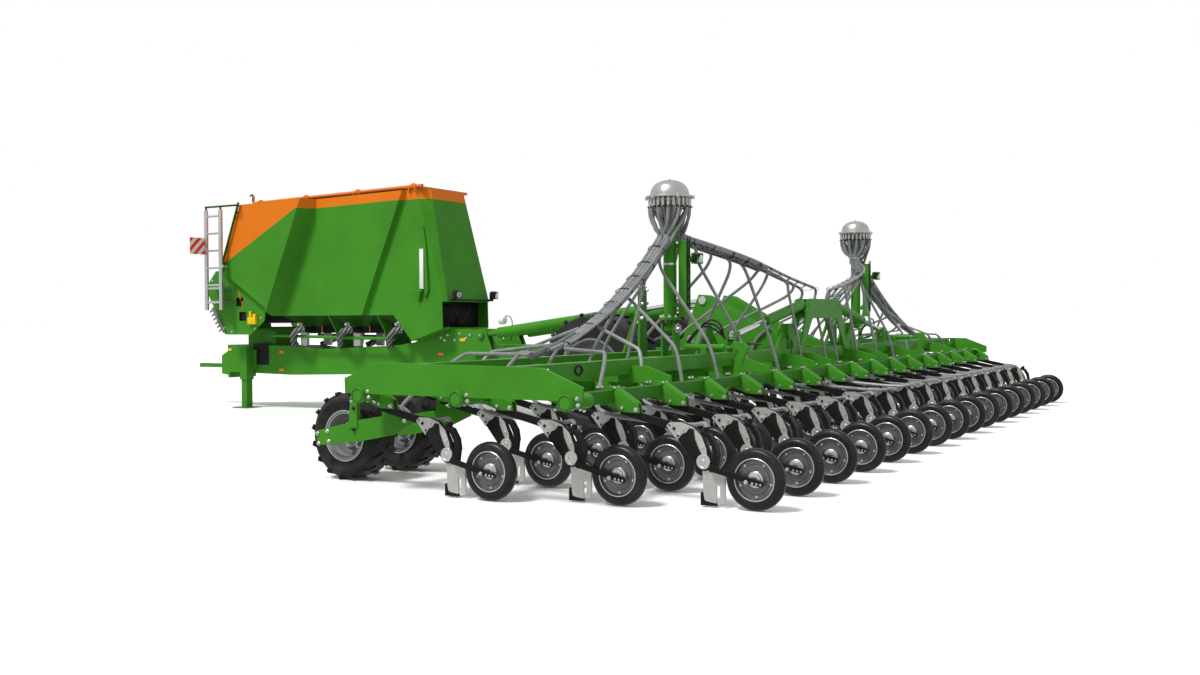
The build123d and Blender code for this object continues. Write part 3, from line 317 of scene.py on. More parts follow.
def turn_by(degrees, axis):
    return Matrix.Rotation(math.radians(degrees), 4, axis)


def at(x, y, z):
    """A place, with x measured from the rear row of wheel axles."""
    return shift(REAR_AXLES + x, y, z)


def all_at(flip, y, *points, facing=TO_LEFT):
    """Places on one side of the machine, all with this Y, from their (x, z) points."""
    return [flip @ at(x, y, z) @ facing for x, z in points]


def on_both(places, y):
    """Each place at Y to the left of it, and mirrored to the right."""
    return [place @ flip @ shift(0, y, 0) for place in places for _, flip in HALVES]


def outward(places, y, *points):
    """Places on both faces of what stands at each place, turned away from its middle."""
    return [place @ shift(x, side * y, z) @ facing for place in places for x, z in points
            for side, facing in ((1, TO_LEFT), (-1, TO_RIGHT))]


def ring(count, start, radius, height):
    """Places round Z; start is where the first one lies, as a share of a step."""
    return [Matrix.Rotation(math.tau * (i + start) / count, 4, "Z") @ shift(radius, 0, height)
            for i in range(count)]


def at_coulters(section, x, z):
    """A place at every coulter of a section, this far ahead of its row of wheel axles."""
    low, high = SECTIONS[section]
    return [at(ROW_STEP * row + x, y, z) for row in ROWS.values() for y in coulters(row, low, high)]


def turned(profile, steps, closed=True):
    """A shape turned about Z from (radius, height) points in millimetres, joined up if closed."""
    mesh = bmesh.new()
    verts = [mesh.verts.new((radius * MM, 0, height * MM)) for radius, height in profile]
    pairs = zip(verts, verts[1:] + verts[:1] if closed else verts[1:])
    edges = [mesh.edges.new(pair) for pair in pairs]
    bmesh.ops.spin(mesh, geom=verts + edges, cent=(0, 0, 0), axis=(0, 0, 1), angle=math.tau, steps=steps,
                   use_merge=True)
    bmesh.ops.remove_doubles(mesh, verts=mesh.verts, dist=1e-6)
    bmesh.ops.recalc_face_normals(mesh, faces=mesh.faces)
    return mesh


def rounded_box(x, y, z, edge, segments):
    """A box of this size in millimetres, with round edges."""
    mesh = bmesh.new()
    bmesh.ops.create_cube(mesh, size=1.0, matrix=Matrix.Diagonal((x * MM, y * MM, z * MM, 1)))
    bmesh.ops.bevel(mesh, geom=mesh.edges, offset=edge * MM, affect="EDGES", segments=segments,
                    profile=0.5, material=-1)
    return mesh


def bolt(radius, height):
    """A hexagon head on its washer, standing on Z = 0; sizes in millimetres."""
    mesh = bmesh.new()
    radius, height = radius * MM, height * MM
    bmesh.ops.create_cone(mesh, cap_ends=True, segments=10, radius1=1.45 * radius, radius2=1.4 * radius,
                          depth=0.3 * height, matrix=shift(0, 0, 0.15 * height))
    bmesh.ops.create_cone(mesh, cap_ends=True, segments=6, radius1=radius, radius2=0.9 * radius,
                          depth=0.75 * height, matrix=shift(0, 0, 0.65 * height))
    return mesh


def put_together(name, body, parts, sharp=35.0):
    """One piece from (mesh, finish, places) parts. It rides on a body, where one is named."""
    whole = bmesh.new()
    data = bpy.data.meshes.new(name)
    finishes = []
    for mesh, finish, places in parts:
        if finish not in finishes:
            finishes.append(finish)
            data.materials.append(finish)
        for face in mesh.faces:
            face.material_index = finishes.index(finish)
            face.smooth = True
        for edge in mesh.edges:
            edge.smooth = len(edge.link_faces) == 2 and edge.calc_face_angle() < math.radians(sharp)
        single = bpy.data.meshes.new("single")
        mesh.to_mesh(single)
        for place in places:
            copy = single.copy()
            copy.transform(place)
            if place.determinant() < 0:
                copy.flip_normals()
            whole.from_mesh(copy)
            bpy.data.meshes.remove(copy)
        bpy.data.meshes.remove(single)
    whole.to_mesh(data)
    whole.free()
    piece = bpy.data.objects.new(name, data)
    scene.collection.objects.link(piece)
    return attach(piece, body) if body else piece


def rubber(name, colour, roughness=0.72):
    """Worn tyre rubber: fine pores, a little dust and a dull shine."""
    return mottled(name, colour, shade_of(colour, 0.75, 0.014), (5.0, 6.0), (0.45, 0.75),
                   (roughness - 0.2, roughness + 0.08), (420.0, 3.0), 0.0005, 0.5, (38.0, 4.0),
                   Specular_IOR_Level=0.3)


def zinc(name, colour, roughness=0.34, metallic=0.85, grain=60.0):
    """Zinc-plated steel: a faint spangle of crystals, with duller and darker patches."""
    finish = Finish(name, Metallic=metallic)
    patches = finish.noise(9.0, 5.0)
    pale = finish.band(finish.cells(grain), 0.0, 0.8) * 0.35 + finish.spread(patches, 0.0, 0.65)
    return finish.vary(
        Base_Color=finish.blend(pale, shade_of(colour, 0.72), colour),
        Roughness=finish.spread(patches, roughness + 0.14, roughness - 0.06),
        Normal=finish.bump(finish.noise(260.0, 2.0), 0.0002, 0.35))


tyre_rubber = rubber("tyre_rubber", (0.009, 0.009, 0.009), 0.42)
wheel_zinc = zinc("wheel_zinc", (0.19, 0.195, 0.19), 0.33, 0.75)
bright_zinc = zinc("bright_zinc", (0.74, 0.74, 0.71), 0.26, 0.8)
tyre_half = [(141, 31), (146, 37.5), (158, 40.5), (176, 41.8), (192, 38.5), (204, 29), (210.5, 15.5)]
press_tyre = turned([(radius, -width) for radius, width in tyre_half] + [(212.4, 0)] + tyre_half[::-1], 44)
press_half = turned([
    (15.2, 0), (146, 0), (147.5, 30), (144, 37.2), (138.5, 35), (135, 23), (129, 12.5), (104, 11.5),
    (99, 17.5), (85, 19), (74, 13.5), (56, 12.5), (54, 12)], 32)
press_hub = turned([
    (15.2, 0), (56, 0), (55.5, 20), (52, 23), (44, 24), (40, 33), (34, 35), (26, 35), (24, 31.5),
    (15.2, 31.5)], 20)
# painted highlight: a ring of paler plated steel along the edge of each wheel half
rim_edge_highlight = turned([(138.5, 35.2), (144, 37.4), (146.2, 37.8), (144, 39.5), (140, 38.5)], 36)
wheel_bolt = bolt(6.8, 11)
WHEEL_SIDES = (TO_LEFT, TO_RIGHT)
bolt_ring = ring(5, 0.3, 0.116, 0.0118)
for section, (low, high) in SECTIONS.items():
    for row_name, row in ROWS.items():
        centres = [at(ROW_STEP * row, y, AXLE_HEIGHT) for y in coulters(row, low, high)]
        sides = [centre @ half for centre in centres for half in WHEEL_SIDES]
        node = f"press_wheels_{row_name}_{section}"
        wheels = put_together(f"wheels_{row_name}_{section}", node, [
            (press_tyre, tyre_rubber, [centre @ TO_LEFT for centre in centres]),
            (press_half, wheel_zinc, sides), (press_hub, bright_zinc, sides),
            (rim_edge_highlight, bright_zinc, sides),
            (wheel_bolt, bright_zinc, [side @ place for side in sides for place in bolt_ring])])
        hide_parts(node)


# ---- coulters ----
# Each coulter is a black cast arm with a galvanised plate bolted on either side, a pivot disc
# and a galvanised tine with a black cutting foot. The arm of its press wheel is black too.

PIVOT = (0.378, 0.312)
FACE = 0.0213                  # outside of the galvanised plates, from the coulter's middle
DISC_FACE = 0.0278


def plate(outline, low_y, high_y, round_off=0.0):
    """A plate that stands fore and aft, from its (x, z) outline; sizes in millimetres."""
    mesh = bmesh.new()
    face = mesh.faces.new([mesh.verts.new((x * MM, low_y * MM, z * MM)) for x, z in outline])
    made = bmesh.ops.extrude_face_region(mesh, geom=[face])
    moved = [item for item in made["geom"] if isinstance(item, bmesh.types.BMVert)]
    bmesh.ops.translate(mesh, verts=moved, vec=(0, (high_y - low_y) * MM, 0))
    bmesh.ops.recalc_face_normals(mesh, faces=mesh.faces)
    if round_off:
        bmesh.ops.bevel(mesh, geom=mesh.edges, offset=round_off * MM, offset_type="OFFSET", affect="EDGES",
                        segments=2, profile=0.5, material=-1, clamp_overlap=True)
    return mesh


def coated(name, colour, roughness):
    """Black powder coat: an even matt skin, thin and greyer at the edges."""
    coat = Finish(name, Specular_IOR_Level=0.16)
    edge, rounded, _ = coat.edge_and_normals(0.003, False, 0.99, 0.85)
    return coat.vary(
        Base_Color=coat.blend(edge * 0.7, colour, shade_of(colour, 1.0, 0.05)),
        Roughness=coat.spread(coat.noise(24.0, 5.0), roughness - 0.07, roughness + 0.1),
        Normal=coat.bump(coat.noise(520.0, 2.0), 0.00025, 0.5, rounded))


black_coat = coated("black_coat", (0.0085, 0.0085, 0.008), 0.42)
dark_steel = coated("dark_steel", (0.02, 0.02, 0.019), 0.5)
galvanised = zinc("galvanised", (0.6, 0.6, 0.57), 0.34, 0.55, 45.0)
dress(("coulter_arms",), black_coat)
dress(("coulter_shares",), galvanised)
disc = turned([
    (0, 0), (51.5, 0), (51.5, 2), (49, 4.8), (40, 5.2), (37.5, 3), (19, 3), (18, 6.5), (13, 9.5),
    (0, 9.5)], 28, closed=False)
foot = plate([
    (406, 99), (386, 99), (376, 48), (356, 40), (288, 31), (288, 12), (406.2, 10.1)], -12.8, 12.8)
link = plate([
    (452, 532), (486, 537), (508, 508), (538, 496), (572, 458), (456, 316), (430, 290), (400, 264),
    (364, 264), (348, 302), (386, 348), (412, 396), (442, 462)], 0, 6.2, 1.5)
hole = turned([(0, 0), (7.8, 0), (7.8, 0.6), (0, 0.6)], 12, closed=False)
pad = plate([
    (549, 470), (560, 452), (585, 458), (594, 475), (590, 495), (570, 512), (552, 500)], 0, 4, 1.2)
boot_rib = plate([
    (400, 530), (328, 502), (282.5, 431), (269.5, 350), (274, 350), (286.5, 429), (331, 498.5),
    (400, 525.5)], -24, 24)
small_bolt = bolt(8.5, 11)
arm_bolt = bolt(10.5, 14)
ARM_FACE = 0.057
for section in SECTIONS:
    places = at_coulters(section, 0, 0)

    def on_arms(*points):
        return [place @ shift(x, ARM_FACE, z) @ TO_LEFT for place in places for x, z in points]

    pads = [place @ flip @ shift(0, FACE, 0) for _, flip in HALVES for place in places]
    put_together(f"coulter_fittings_{section}", CARRIERS[section], [
        (disc, bright_zinc, outward(places, DISC_FACE, PIVOT)),
        (small_bolt, bright_zinc, outward(places, FACE, (0.384, 0.412), (0.531, 0.53))),
        (small_bolt, dark_steel, outward(places, FACE, (0.604, 0.53), (0.57, 0.482))),
        # painted shade: a dark disc on each plate where a hole lies
        (hole, dark_steel, outward(places, FACE, (0.64, 0.552))),
        (pad, galvanised, pads),
        (link, black_coat, [place @ shift(0, 0.0001, 0) for place in pads]),
        (foot, black_coat, places),
        (boot_rib, dark_steel, places),
        (arm_bolt, bright_zinc, on_arms((0.051, 0.1975))),
        (hole, bright_zinc, on_arms((0.006, 0.1925), (-0.024, 0.1885), (-0.052, 0.185)))])


# ---- clamps ----
# Every coulter hangs on its tool beam in a clamp of bent green plate. Four plated bolts pull
# the clamp's lid down on the beam, and two more hold the coulter's arm between the cheeks.

TOOL_BEAMS = 1.12              # ahead of the row of axles
BEAM_HEIGHT = 0.74
clamp_bolt = bolt(12.5, 18)
lid_bolt = bolt(10.5, 15)
fold = plate([(20, 70), (-62, 66), (-238, -44), (-233, -52), (-60, 57.5), (20, 59)], -44, 44, 2.5)
for corner in fold.verts:
    corner.co.y *= 1.0 - 0.5 * min(1.0, max(0.0, (0.02 - corner.co.x) / 0.15))
cheek_face = plate([(20, 56), (-62, 57), (-236, -48), (-246, -114), (-116, -111), (20, -60)], 0, 8, 2)
ridge = plate([(-55, 50), (-235, -62), (-229, -70), (-62, 37)], 0, 4.5, 1.2)
ridge_low = plate([(-55, 26), (-160, -40), (-154, -48), (-62, 13)], 0, 4.5, 1.2)
for corner in cheek_face.verts:
    corner.co.y += 0.018 * max(0.0, 1.0 - (0.02 - corner.co.x) / 0.15)
for section in SECTIONS:
    middles = at_coulters(section, TOOL_BEAMS, BEAM_HEIGHT)
    ridges = on_both(middles, 0.0283)
    lids = [middle @ shift(x, y, 0.057) for middle in middles
            for x, y in ((0.095, 0.03), (0.095, -0.03), (-0.046, 0.031), (-0.046, -0.031))]
    soles = [middle @ shift(x, y, -0.057) @ UPSIDE_DOWN for middle in middles
             for x, y in ((0.085, 0.03), (0.085, -0.03), (-0.018, 0.03), (-0.018, -0.03))]
    put_together(f"clamp_bolts_{section}", CARRIERS[section], [
        (clamp_bolt, bright_zinc, outward(middles, 0.0285, (-0.22, -0.09), (-0.115, -0.078))),
        (lid_bolt, bright_zinc, lids + soles),
        (fold, green_paint, middles), (cheek_face, green_paint, on_both(middles, 0.0205)),
        (ridge, green_paint, ridges), (ridge_low, green_paint, ridges)])


# ---- wing ends ----
# The plate at a wing's tip closes three round tubes with welded green discs. Plated bolts hold
# the tubes, and a cast grommet in the rear heavy beam takes the hydraulic lines.

PLATE_OUT = 6.06
LUGS = ((-0.076, 0.03), (-0.084, -0.012))
tubes = [(ROW_STEP * row + TOOL_BEAMS - 0.06, 0.735) for row in range(3)]
# painted shade: a very dark green ring just inside each cap's lip, where its groove lies
groove_painted_shade = painted("groove_painted_shade", (0.01, 0.05, 0.005), 0.4)
tube_cap = turned([
    (0, 0), (57.5, 0), (57.5, 34.5), (54, 37.5), (50.5, 37.5), (49.5, 35), (0, 35)], 40, closed=False)
cap_groove = turned([(45.5, 35.1), (49.5, 35.1), (49.5, 37.8), (45.5, 37.8)], 32)
tube_sleeve = turned([(48, -240), (52, -240), (52, 0), (48, 0)], 28)
grommet = turned([(34, 0), (60, 0), (57, 10), (40, 14), (36, 6)], 24)
for section, flip in HALVES:
    caps = all_at(flip, PLATE_OUT, *tubes)
    lugs = all_at(flip, PLATE_OUT, *((x + dx, z + dz) for x, z in tubes for dx, dz in LUGS))
    under = [flip @ at(x + dx, PLATE_OUT - 0.015 - dy, 0.69) @ UPSIDE_DOWN for x, z in tubes
             for dx, dy in ((-0.11, 0.02), (0.12, 0.02), (0.03, 0.1), (-0.03, 0.1))]
    oval = Matrix.Scale(1.5, 4, (0, 1, 0)) @ Matrix.Scale(0.7, 4)
    put_together(f"wing_end_{section}", CARRIERS[section], [
        (tube_cap, green_paint, caps), (tube_sleeve, green_paint, all_at(flip, PLATE_OUT - 0.02, *tubes)),
        (cap_groove, groove_painted_shade, caps), (lid_bolt, bright_zinc, lugs + under),
        (grommet, dark_steel, [flip @ at(1.44, 5.3, 0.915) @ TO_REAR @ oval]),
        (small_bolt, bright_zinc, all_at(flip, 5.72, (1.4395, 0.935), (1.4395, 0.9), facing=TO_REAR))])


# ---- guide wheels ----
# Twin treaded wheels ahead of each wing's tip, on silver-grey steel rims. Their green arms are
# cut from plate, with bolts through the axle's clamp and a chained pin in the height strap.

RIM_RADIUS = 0.205
GUIDE_AXLE = (3.49, 0.36)
GUIDE_MIDDLES = (5.46, 4.81)   # Y of the middles of the twin wheels
RIM_FACE = 0.111
rim_grey = painted("rim_grey", (0.17, 0.175, 0.175), 0.3, 0.15)
# painted highlight: the rims' outer ring in bright plated steel, paler than the rest of the rim
rim_ring_highlight = turned([(196, 0), (206.5, 0), (209.5, 6), (206, 12), (200, 10), (196, 2)], 40)
rim_bowl = turned([
    (26, 0), (80, 0), (90, 6), (125, 8), (135, 25), (150, 33), (190, 33), (204, 100), (200, 100),
    (182, 39), (148, 39), (130, 31), (120, 14), (90, 12), (80, 9), (64, 9), (64, 50), (56, 56),
    (26, 56)], 36)
wheel_nut = bolt(12.5, 20)
tread = rubber("tread_rubber", (0.013, 0.013, 0.012), 0.66)


def rubber_and_rim(name, x, z, radius):
    """Tyre rubber outside the rim's radius round an axle, and rim paint inside it."""
    finish = Finish(name, Specular_IOR_Level=0.2)
    away_x = finish.along(0) - (REAR_AXLES + x)
    away_z = finish.along(2) - z
    inside = (away_x * away_x + away_z * away_z) < radius * radius
    dust = finish.band(finish.noise(6.0, 6.0), 0.45, 0.75)
    black = finish.blend(dust, (0.013, 0.013, 0.012), (0.034, 0.033, 0.031))
    return finish.vary(
        Base_Color=finish.blend(inside, black, (0.3, 0.31, 0.31)),
        Roughness=finish.spread(finish.noise(20.0, 4.0), 0.5, 0.78) - inside * 0.25,
        Normal=finish.bump(finish.noise(380.0, 3.0), 0.0005, 0.5))


dress(("guide_wheels",), rubber_and_rim("guide_tyre", *GUIDE_AXLE, RIM_RADIUS))
for section, flip in HALVES:
    hubs = [flip @ at(GUIDE_AXLE[0], y, GUIDE_AXLE[1]) @ turn
            for y in GUIDE_MIDDLES for turn in WHEEL_SIDES]
    nuts = [hub @ nut for hub in hubs for nut in ring(6, 0, 0.104, 0.008)]
    rings = [hub @ shift(0, 0, RIM_FACE) for hub in hubs]
    put_together(f"guide_rims_{section}", f"guide_wheels_{section}", [
        (rim_ring_highlight, bright_zinc, rings), (rim_bowl, rim_grey, hubs), (wheel_nut, bright_zinc, nuts)])
    heads = all_at(flip, 5.692, (3.668, 0.382), (3.56, 0.405), (3.655, 0.302), (3.545, 0.325),
                   (2.79, 0.56), (2.735, 0.545), (2.762, 0.52))
    put_together(f"guide_arm_bolts_{section}", CARRIERS[section], [
        (clamp_bolt, bright_zinc, heads),
        (arm_bolt, dark_steel, all_at(flip, 5.702, (3.275, 0.43), (3.275, 0.6)))])


# ---- road wheels ----
# Two wide treaded tyres on welded silver-grey rims, each with ten nuts round a bolted hub.

ROAD_AXLE = (3.8, 0.685)
dress(("road_tyre",), tread)
dress(("road_rim",), rim_grey)
road_nut = bolt(16, 26)
hub_cap = turned([(0, 55), (60, 55), (75, 48), (80, 0), (0, 0)], 28, closed=False)
for section, flip in HALVES:
    face, = all_at(flip, 1.018, ROAD_AXLE)
    put_together(f"road_hub_{section}", f"road_wheel_{section}", [
        (hub_cap, rim_grey, all_at(flip, 1.05, ROAD_AXLE)),
        (road_nut, bright_zinc, [face @ nut for nut in ring(10, 0, 0.165, 0)])])


# ---- distributor heads ----
# A spun stainless dome with a small filler nub stands on a galvanised rim. Twenty-four short
# pipes point down from the rim, and a black clip ties a seed hose to each of them.

MAST = (1.97, 2.77)
OUTLETS = 24
spun_steel = zinc("spun_steel", (0.62, 0.63, 0.61), 0.26, 0.95, 14.0)
dome = turned([
    (0, 2614), (9, 2614), (11, 2606), (11, 2600), (34, 2599), (37, 2601), (58, 2598.5), (90, 2589),
    (118, 2577), (143, 2560), (163, 2536), (178, 2505), (186, 2475), (188.5, 2452), (200, 2450.5),
    (226, 2450), (228, 2444), (228, 2434), (224, 2431), (213, 2430), (208, 2426), (190, 2424),
    (160, 2420), (120, 2330), (84, 2225), (0, 2225)], 64, closed=False)
pipe = turned([(9.5, -45), (14, -45), (14, 35), (9.5, 35)], 12)
clip = turned([(16.5, -50), (20, -50), (20, -36), (16.5, -36)], 12)
clip_screw = bolt(4.5, 10)
rim_clamp = plate([(-12, -20), (14, -20), (14, 14), (4, 20), (-12, 14)], -9, 9, 1.5)
for section, flip in HALVES:
    axis = flip @ at(*MAST, 0)
    spots = [axis @ spot for spot in ring(OUTLETS, 0.5, 0.19, 2.39)]
    clamps = [axis @ clamp for clamp in ring(6, 0.25, 0.226, 2.438)]
    head = put_together(f"distributor_head_{section}", f"mast_{section}", [
        (dome, spun_steel, [axis]), (pipe, galvanised, spots), (clip, black_coat, spots),
        (clip_screw, bright_zinc, [spot @ shift(0.02, 0, -0.043) @ TO_FRONT for spot in spots]),
        (rim_clamp, bright_zinc, clamps)])
    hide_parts(f"distributor_{section}")


# ---- masts ----
# A round green post on a bolted foot, which folds on a pin with a big plated nut, and a square
# post behind it that carries a work lamp and the hydraulic lines.

collar = turned([(63, 0), (66, 0), (66, 18), (63, 18)], 32)
foot_nut = bolt(16, 24)
pivot_nut = bolt(34, 36)
lamp_shell = rounded_box(74, 114, 104, 16, 3)
lamp_fin = plate([(36, -40), (52, -34), (52, 34), (36, 40)], -1.6, 1.6)
lamp_lens = turned([(0, 0), (43, 0), (43, 3.5), (40, 6), (20, 7.5), (0, 8)], 24, closed=False)
lamp_black = coated("lamp_black", (0.012, 0.012, 0.012), 0.5)
lens_finish = Finish("lamp_lens", Metallic=0.6, Coat_Weight=0.8, Coat_Roughness=0.03)
ripple = lens_finish.cells(95.0)
lens_clear = lens_finish.vary(
    Base_Color=lens_finish.blend(ripple, (0.85, 0.87, 0.88), (0.45, 0.47, 0.48)),
    Roughness=lens_finish.band(ripple, 0.0, 0.8, 0.12, 0.4), Normal=lens_finish.bump(ripple, 0.002, 0.6))


def lamp_parts(places):
    """A square work lamp with cooling fins behind; it looks along -X."""
    fins = [place @ shift(0, 0.018 * i, 0) for place in places for i in (-2, -1, 0, 1, 2)]
    lenses = [place @ shift(-0.0365, 0, 0) @ TO_REAR for place in places]
    return [(lamp_shell, lamp_black, places), (lamp_fin, lamp_black, fins), (lamp_lens, lens_clear, lenses)]


mast_line = turned([(0, 1380), (5.5, 1380), (5.5, 2060), (0, 2060)], 8, closed=False)
for section, flip in HALVES:
    axis = flip @ at(*MAST, 0)
    tower = [flip @ at(2.257, y, z) @ TO_REAR for y in (2.718, 2.822) for z in (1.3, 1.44, 1.57)]
    # painted shade: the row of slots in the square post is black discs on its face
    holes = [flip @ at(1.7785, MAST[1], 1.42 + 0.075 * i) @ TO_REAR @ Matrix.Diagonal((2.6, 1.5, 3, 1))
             for i in range(9)]
    put_together(f"mast_fittings_{section}", f"mast_{section}", [
        (collar, bright_zinc, [axis @ shift(0, 0, z) for z in (1.8, 2.205)]),
        (foot_nut, bright_zinc, [axis @ foot for foot in ring(8, 0.5, 0.086, 1.305)]),
        (hole, lamp_black, holes),
        (mast_line, lamp_black, [flip @ at(1.7725, MAST[1] + dy, 0) for dy in (-0.026, 0.026)]),
        *lamp_parts([flip @ at(1.685, MAST[1], 1.855) @ turn_by(-14, "Y")])])
    screws = [flip @ at(1.8995, MAST[1] + 0.048 * math.cos(a), 1.2 + 0.048 * math.sin(a)) @ TO_REAR
              for a in (math.tau * (i + 0.5) / 4 for i in range(4))]
    put_together(f"mast_pivot_{section}", CARRIERS[section], [
        (pivot_nut, bright_zinc, [flip @ at(1.9, MAST[1], 1.2) @ TO_REAR]),
        (clip_screw, bright_zinc, screws), (foot_nut, bright_zinc, tower)])


# ---- seed hoses ----
# Smooth grey hoses carry the seed from the heads to the coulters. They leave each head in two
# tied bundles, one out over the wing and one in to the A-frame, and drop off one by one.

HOSE = 0.0155
PACK = 0.0335                  # from hose to hose in a bundle
PACK_ROWS = 0.92               # how much closer the layers of a bundle lie
STAGGER = 0.075                # how much nearer to the mast every second hose runs
LEAN = 0.35                    # how far hoses turn towards their bundle, of the whole way
LET_GO = 0.12                  # how far before its own way out a hose leaves its bundle
STAND_OFF = 0.11               # how far fore or aft of its way down a hose may lie
TIP_BEAM = 4.4                 # from here outwards the front hoses pass lower
INNER_SQUEEZE = 0.66           # how much closer the hoses of an inner bundle lie
LEAVE_SHARE = 0.82             # how far out each hose leaves, of the way to its coulter
BESIDE = 0.0625                # from a coulter's middle to its hose at the tool beam
PIPE_ENDS = ((0.19, 2.356), (0.196, 2.27), (0.15, 2.14))
OUTER_LINE = [(1.975, 2.9, 2.03), (1.97, 3.06, 1.92), (1.95, 3.4, 1.69), (1.9, 4.1, 1.33),
              (1.86, 4.75, 1.1), (1.85, 5.13, 1.02)]
INNER_LINE = [(1.96, 2.64, 2.08), (1.88, 2.45, 2.02), (1.64, 2.02, 1.91), (1.55, 1.6, 1.815),
              (1.51, 1.0, 1.7), (1.477, 0.5, 1.625), (1.5, 0.06, 1.585)]
COME_DOWN = {"rear": 0.18, "middle": 0.18, "front": -0.18}
OVER_BEAMS = 1.035
UNDER_BEAMS = 0.6
BOOT = (0.365, 0.5455)
INNER_CUT = 1.35               # where an inner bundle is cut in two, outboard of the wing's hinge
FEED_RADIUS = 0.0095


def hose_grey(name, colour):
    """Smooth hose with faint dirt."""
    return mottled(name, colour, shade_of(colour, 0.6), (7.0, 6.0), (0.4, 0.75), (0.24, 0.4),
                   (300.0, 2.0), 0.0003, 0.4, (30.0, 3.0), Specular_IOR_Level=0.55)


seed_grey = hose_grey("seed_grey", (0.25, 0.26, 0.262))
line_black = hose_grey("line_black", (0.014, 0.014, 0.014))
tie_black = coated("tie_black", (0.01, 0.01, 0.01), 0.5)
sleeve_grey = hose_grey("sleeve_grey", (0.11, 0.11, 0.11))
braid = mottled("braid", 3 * [0.02], 3 * [0.2], (90.0, 2.0, (1.0, 0.35, 1.0)), (0.42, 0.58), (0.5, 0.75),
                depth=0.004, strength=0.8, Specular_IOR_Level=0.3)


def tube_along(points, radius, smooth=7):
    """A hose along a smooth line with these points, which are measured from the rear axles."""
    data = bpy.data.curves.new("tube", "CURVE")
    data.dimensions = "3D"
    line = data.splines.new("NURBS")
    line.points.add(len(points) - 1)
    for point, (x, y, z) in zip(line.points, points):
        point.co = (REAR_AXLES + x, y, z, 1)
    line.order_u = 3
    line.use_endpoint_u = True
    data.resolution_u = smooth
    data.bevel_depth = radius
    data.bevel_resolution = 2
    data.use_fill_caps = True
    curve = bpy.data.objects.new("tube", data)
    scene.collection.objects.link(curve)
    bpy.context.view_layer.update()
    mesh = bmesh.new()
    made = bpy.data.meshes.new_from_object(curve.evaluated_get(bpy.context.evaluated_depsgraph_get()))
    mesh.from_mesh(made)
    bpy.data.meshes.remove(made)
    bpy.data.objects.remove(curve)
    bpy.data.curves.remove(data)
    return mesh


def on_line(line, y):
    """The point of a bundle's line at this Y, or its nearer end."""
    ends = sorted((line[0], line[-1]), key=lambda point: point[1])
    if y <= ends[0][1] or y >= ends[1][1]:
        return Vector(ends[0] if y <= ends[0][1] else ends[1])
    for a, b in zip(line, line[1:]):
        share = (y - a[1]) / (b[1] - a[1])
        if 0 <= share <= 1:
            return Vector(a).lerp(Vector(b), share)


def bundle_places(line, count):
    """Where each hose lies in its bundle, across it and up; the first to leave lies lowest."""
    step = PACK if line is OUTER_LINE else INNER_SQUEEZE * PACK
    return [((i % 5 - 2) * step, (i // 5 - 1) * step * PACK_ROWS) for i in range(count)]


def hose_lines(line, outlets, ends, inboard):
    """The lines of the hoses of one bundle: ends are (row name, row, Y, Y where it leaves).

    A wing's hoses pass their clamps inboard or outboard, and the centre's always outboard.
    """
    lines = []
    towards = math.radians(90 if line is OUTER_LINE else -90)
    placed = zip(outlets, bundle_places(line, len(ends)), ends)
    for i, (angle, (across, up), (row_name, row, y, leave_y)) in enumerate(placed):
        inward = STAGGER * (i % 2)
        lean = angle + LEAN * math.remainder(towards - angle, math.tau)
        turns = ((0, angle), (inward, angle), (inward, lean))
        top = [(MAST[0] + (r - less) * math.cos(a), MAST[1] + (r - less) * math.sin(a), z)
               for (r, z), (less, a) in zip(PIPE_ENDS, turns)]
        leave = on_line(line, leave_y)
        aside = Vector((across, 0, up))
        reach = abs(leave_y - MAST[1]) - LET_GO
        held = [point for point in line if abs(point[1] - MAST[1]) < reach] or line[:1]
        beside = -1 if inboard and y > HINGE_Y else 1
        down_y = y + beside * BESIDE
        down_x = ROW_STEP * row + TOOL_BEAMS + COME_DOWN[row_name]
        boot_x = ROW_STEP * row + BOOT[0]
        under = Vector((down_x, down_y, UNDER_BEAMS))
        over = leave.lerp(under, min(1.0, (leave.z - OVER_BEAMS) / (leave.z - UNDER_BEAMS)))
        over.x = down_x + max(-STAND_OFF, min(STAND_OFF, over.x - down_x))
        if row_name == "front" and leave_y > TIP_BEAM:
            over.z = OVER_BEAMS - 0.015
        fall = leave.z - over.z
        lines.append([
            *top, *(Vector(point) + aside for point in held), leave + aside,
            leave.lerp(over, 0.08) - Vector((0, 0, 0.1 * fall)),
            leave.lerp(over, 0.25) - Vector((0, 0, 0.08 * fall)), leave.lerp(over, 0.85), over,
            (0.65 * down_x + 0.35 * over.x, 0.65 * down_y + 0.35 * over.y, 0.76),
            under, (boot_x + 0.3, down_y, UNDER_BEAMS - 0.045),
            (boot_x + 0.12, y + beside * 0.052, UNDER_BEAMS - 0.05),
            (boot_x + 0.01, y + beside * 0.01, UNDER_BEAMS - 0.02), (boot_x, y, BOOT[1])])
    return lines


def wing_ends(low, high):
    """A wing's hoses between these two Y: row name, row, Y and Y where each leaves the bundle."""
    return [(name, row, y, MAST[1] + LEAVE_SHARE * (y - MAST[1]))
            for name, row in ROWS.items() for y in coulters(row, low, high)]


centre_ends = [(name, row, y, y + BESIDE) for name, row in ROWS.items() for y in coulters(row, 0, HINGE_Y)]
outer_ends = sorted(wing_ends(MAST[1], TIP_Y), key=lambda end: end[3])
inner_ends = sorted(wing_ends(HINGE_Y, MAST[1]) + centre_ends, key=lambda end: -end[3])
angles = [math.tau * (i + 0.5) / OUTLETS for i in range(OUTLETS)]
angles.sort(key=lambda angle: -math.sin(angle))
outer_angles = sorted(angles[:len(outer_ends)], key=math.cos)
inner_angles = sorted(angles[len(outer_ends):], key=math.cos)
tie_ring = turned([(940, -6), (1030, -6), (1030, 6), (940, 6)], 20)


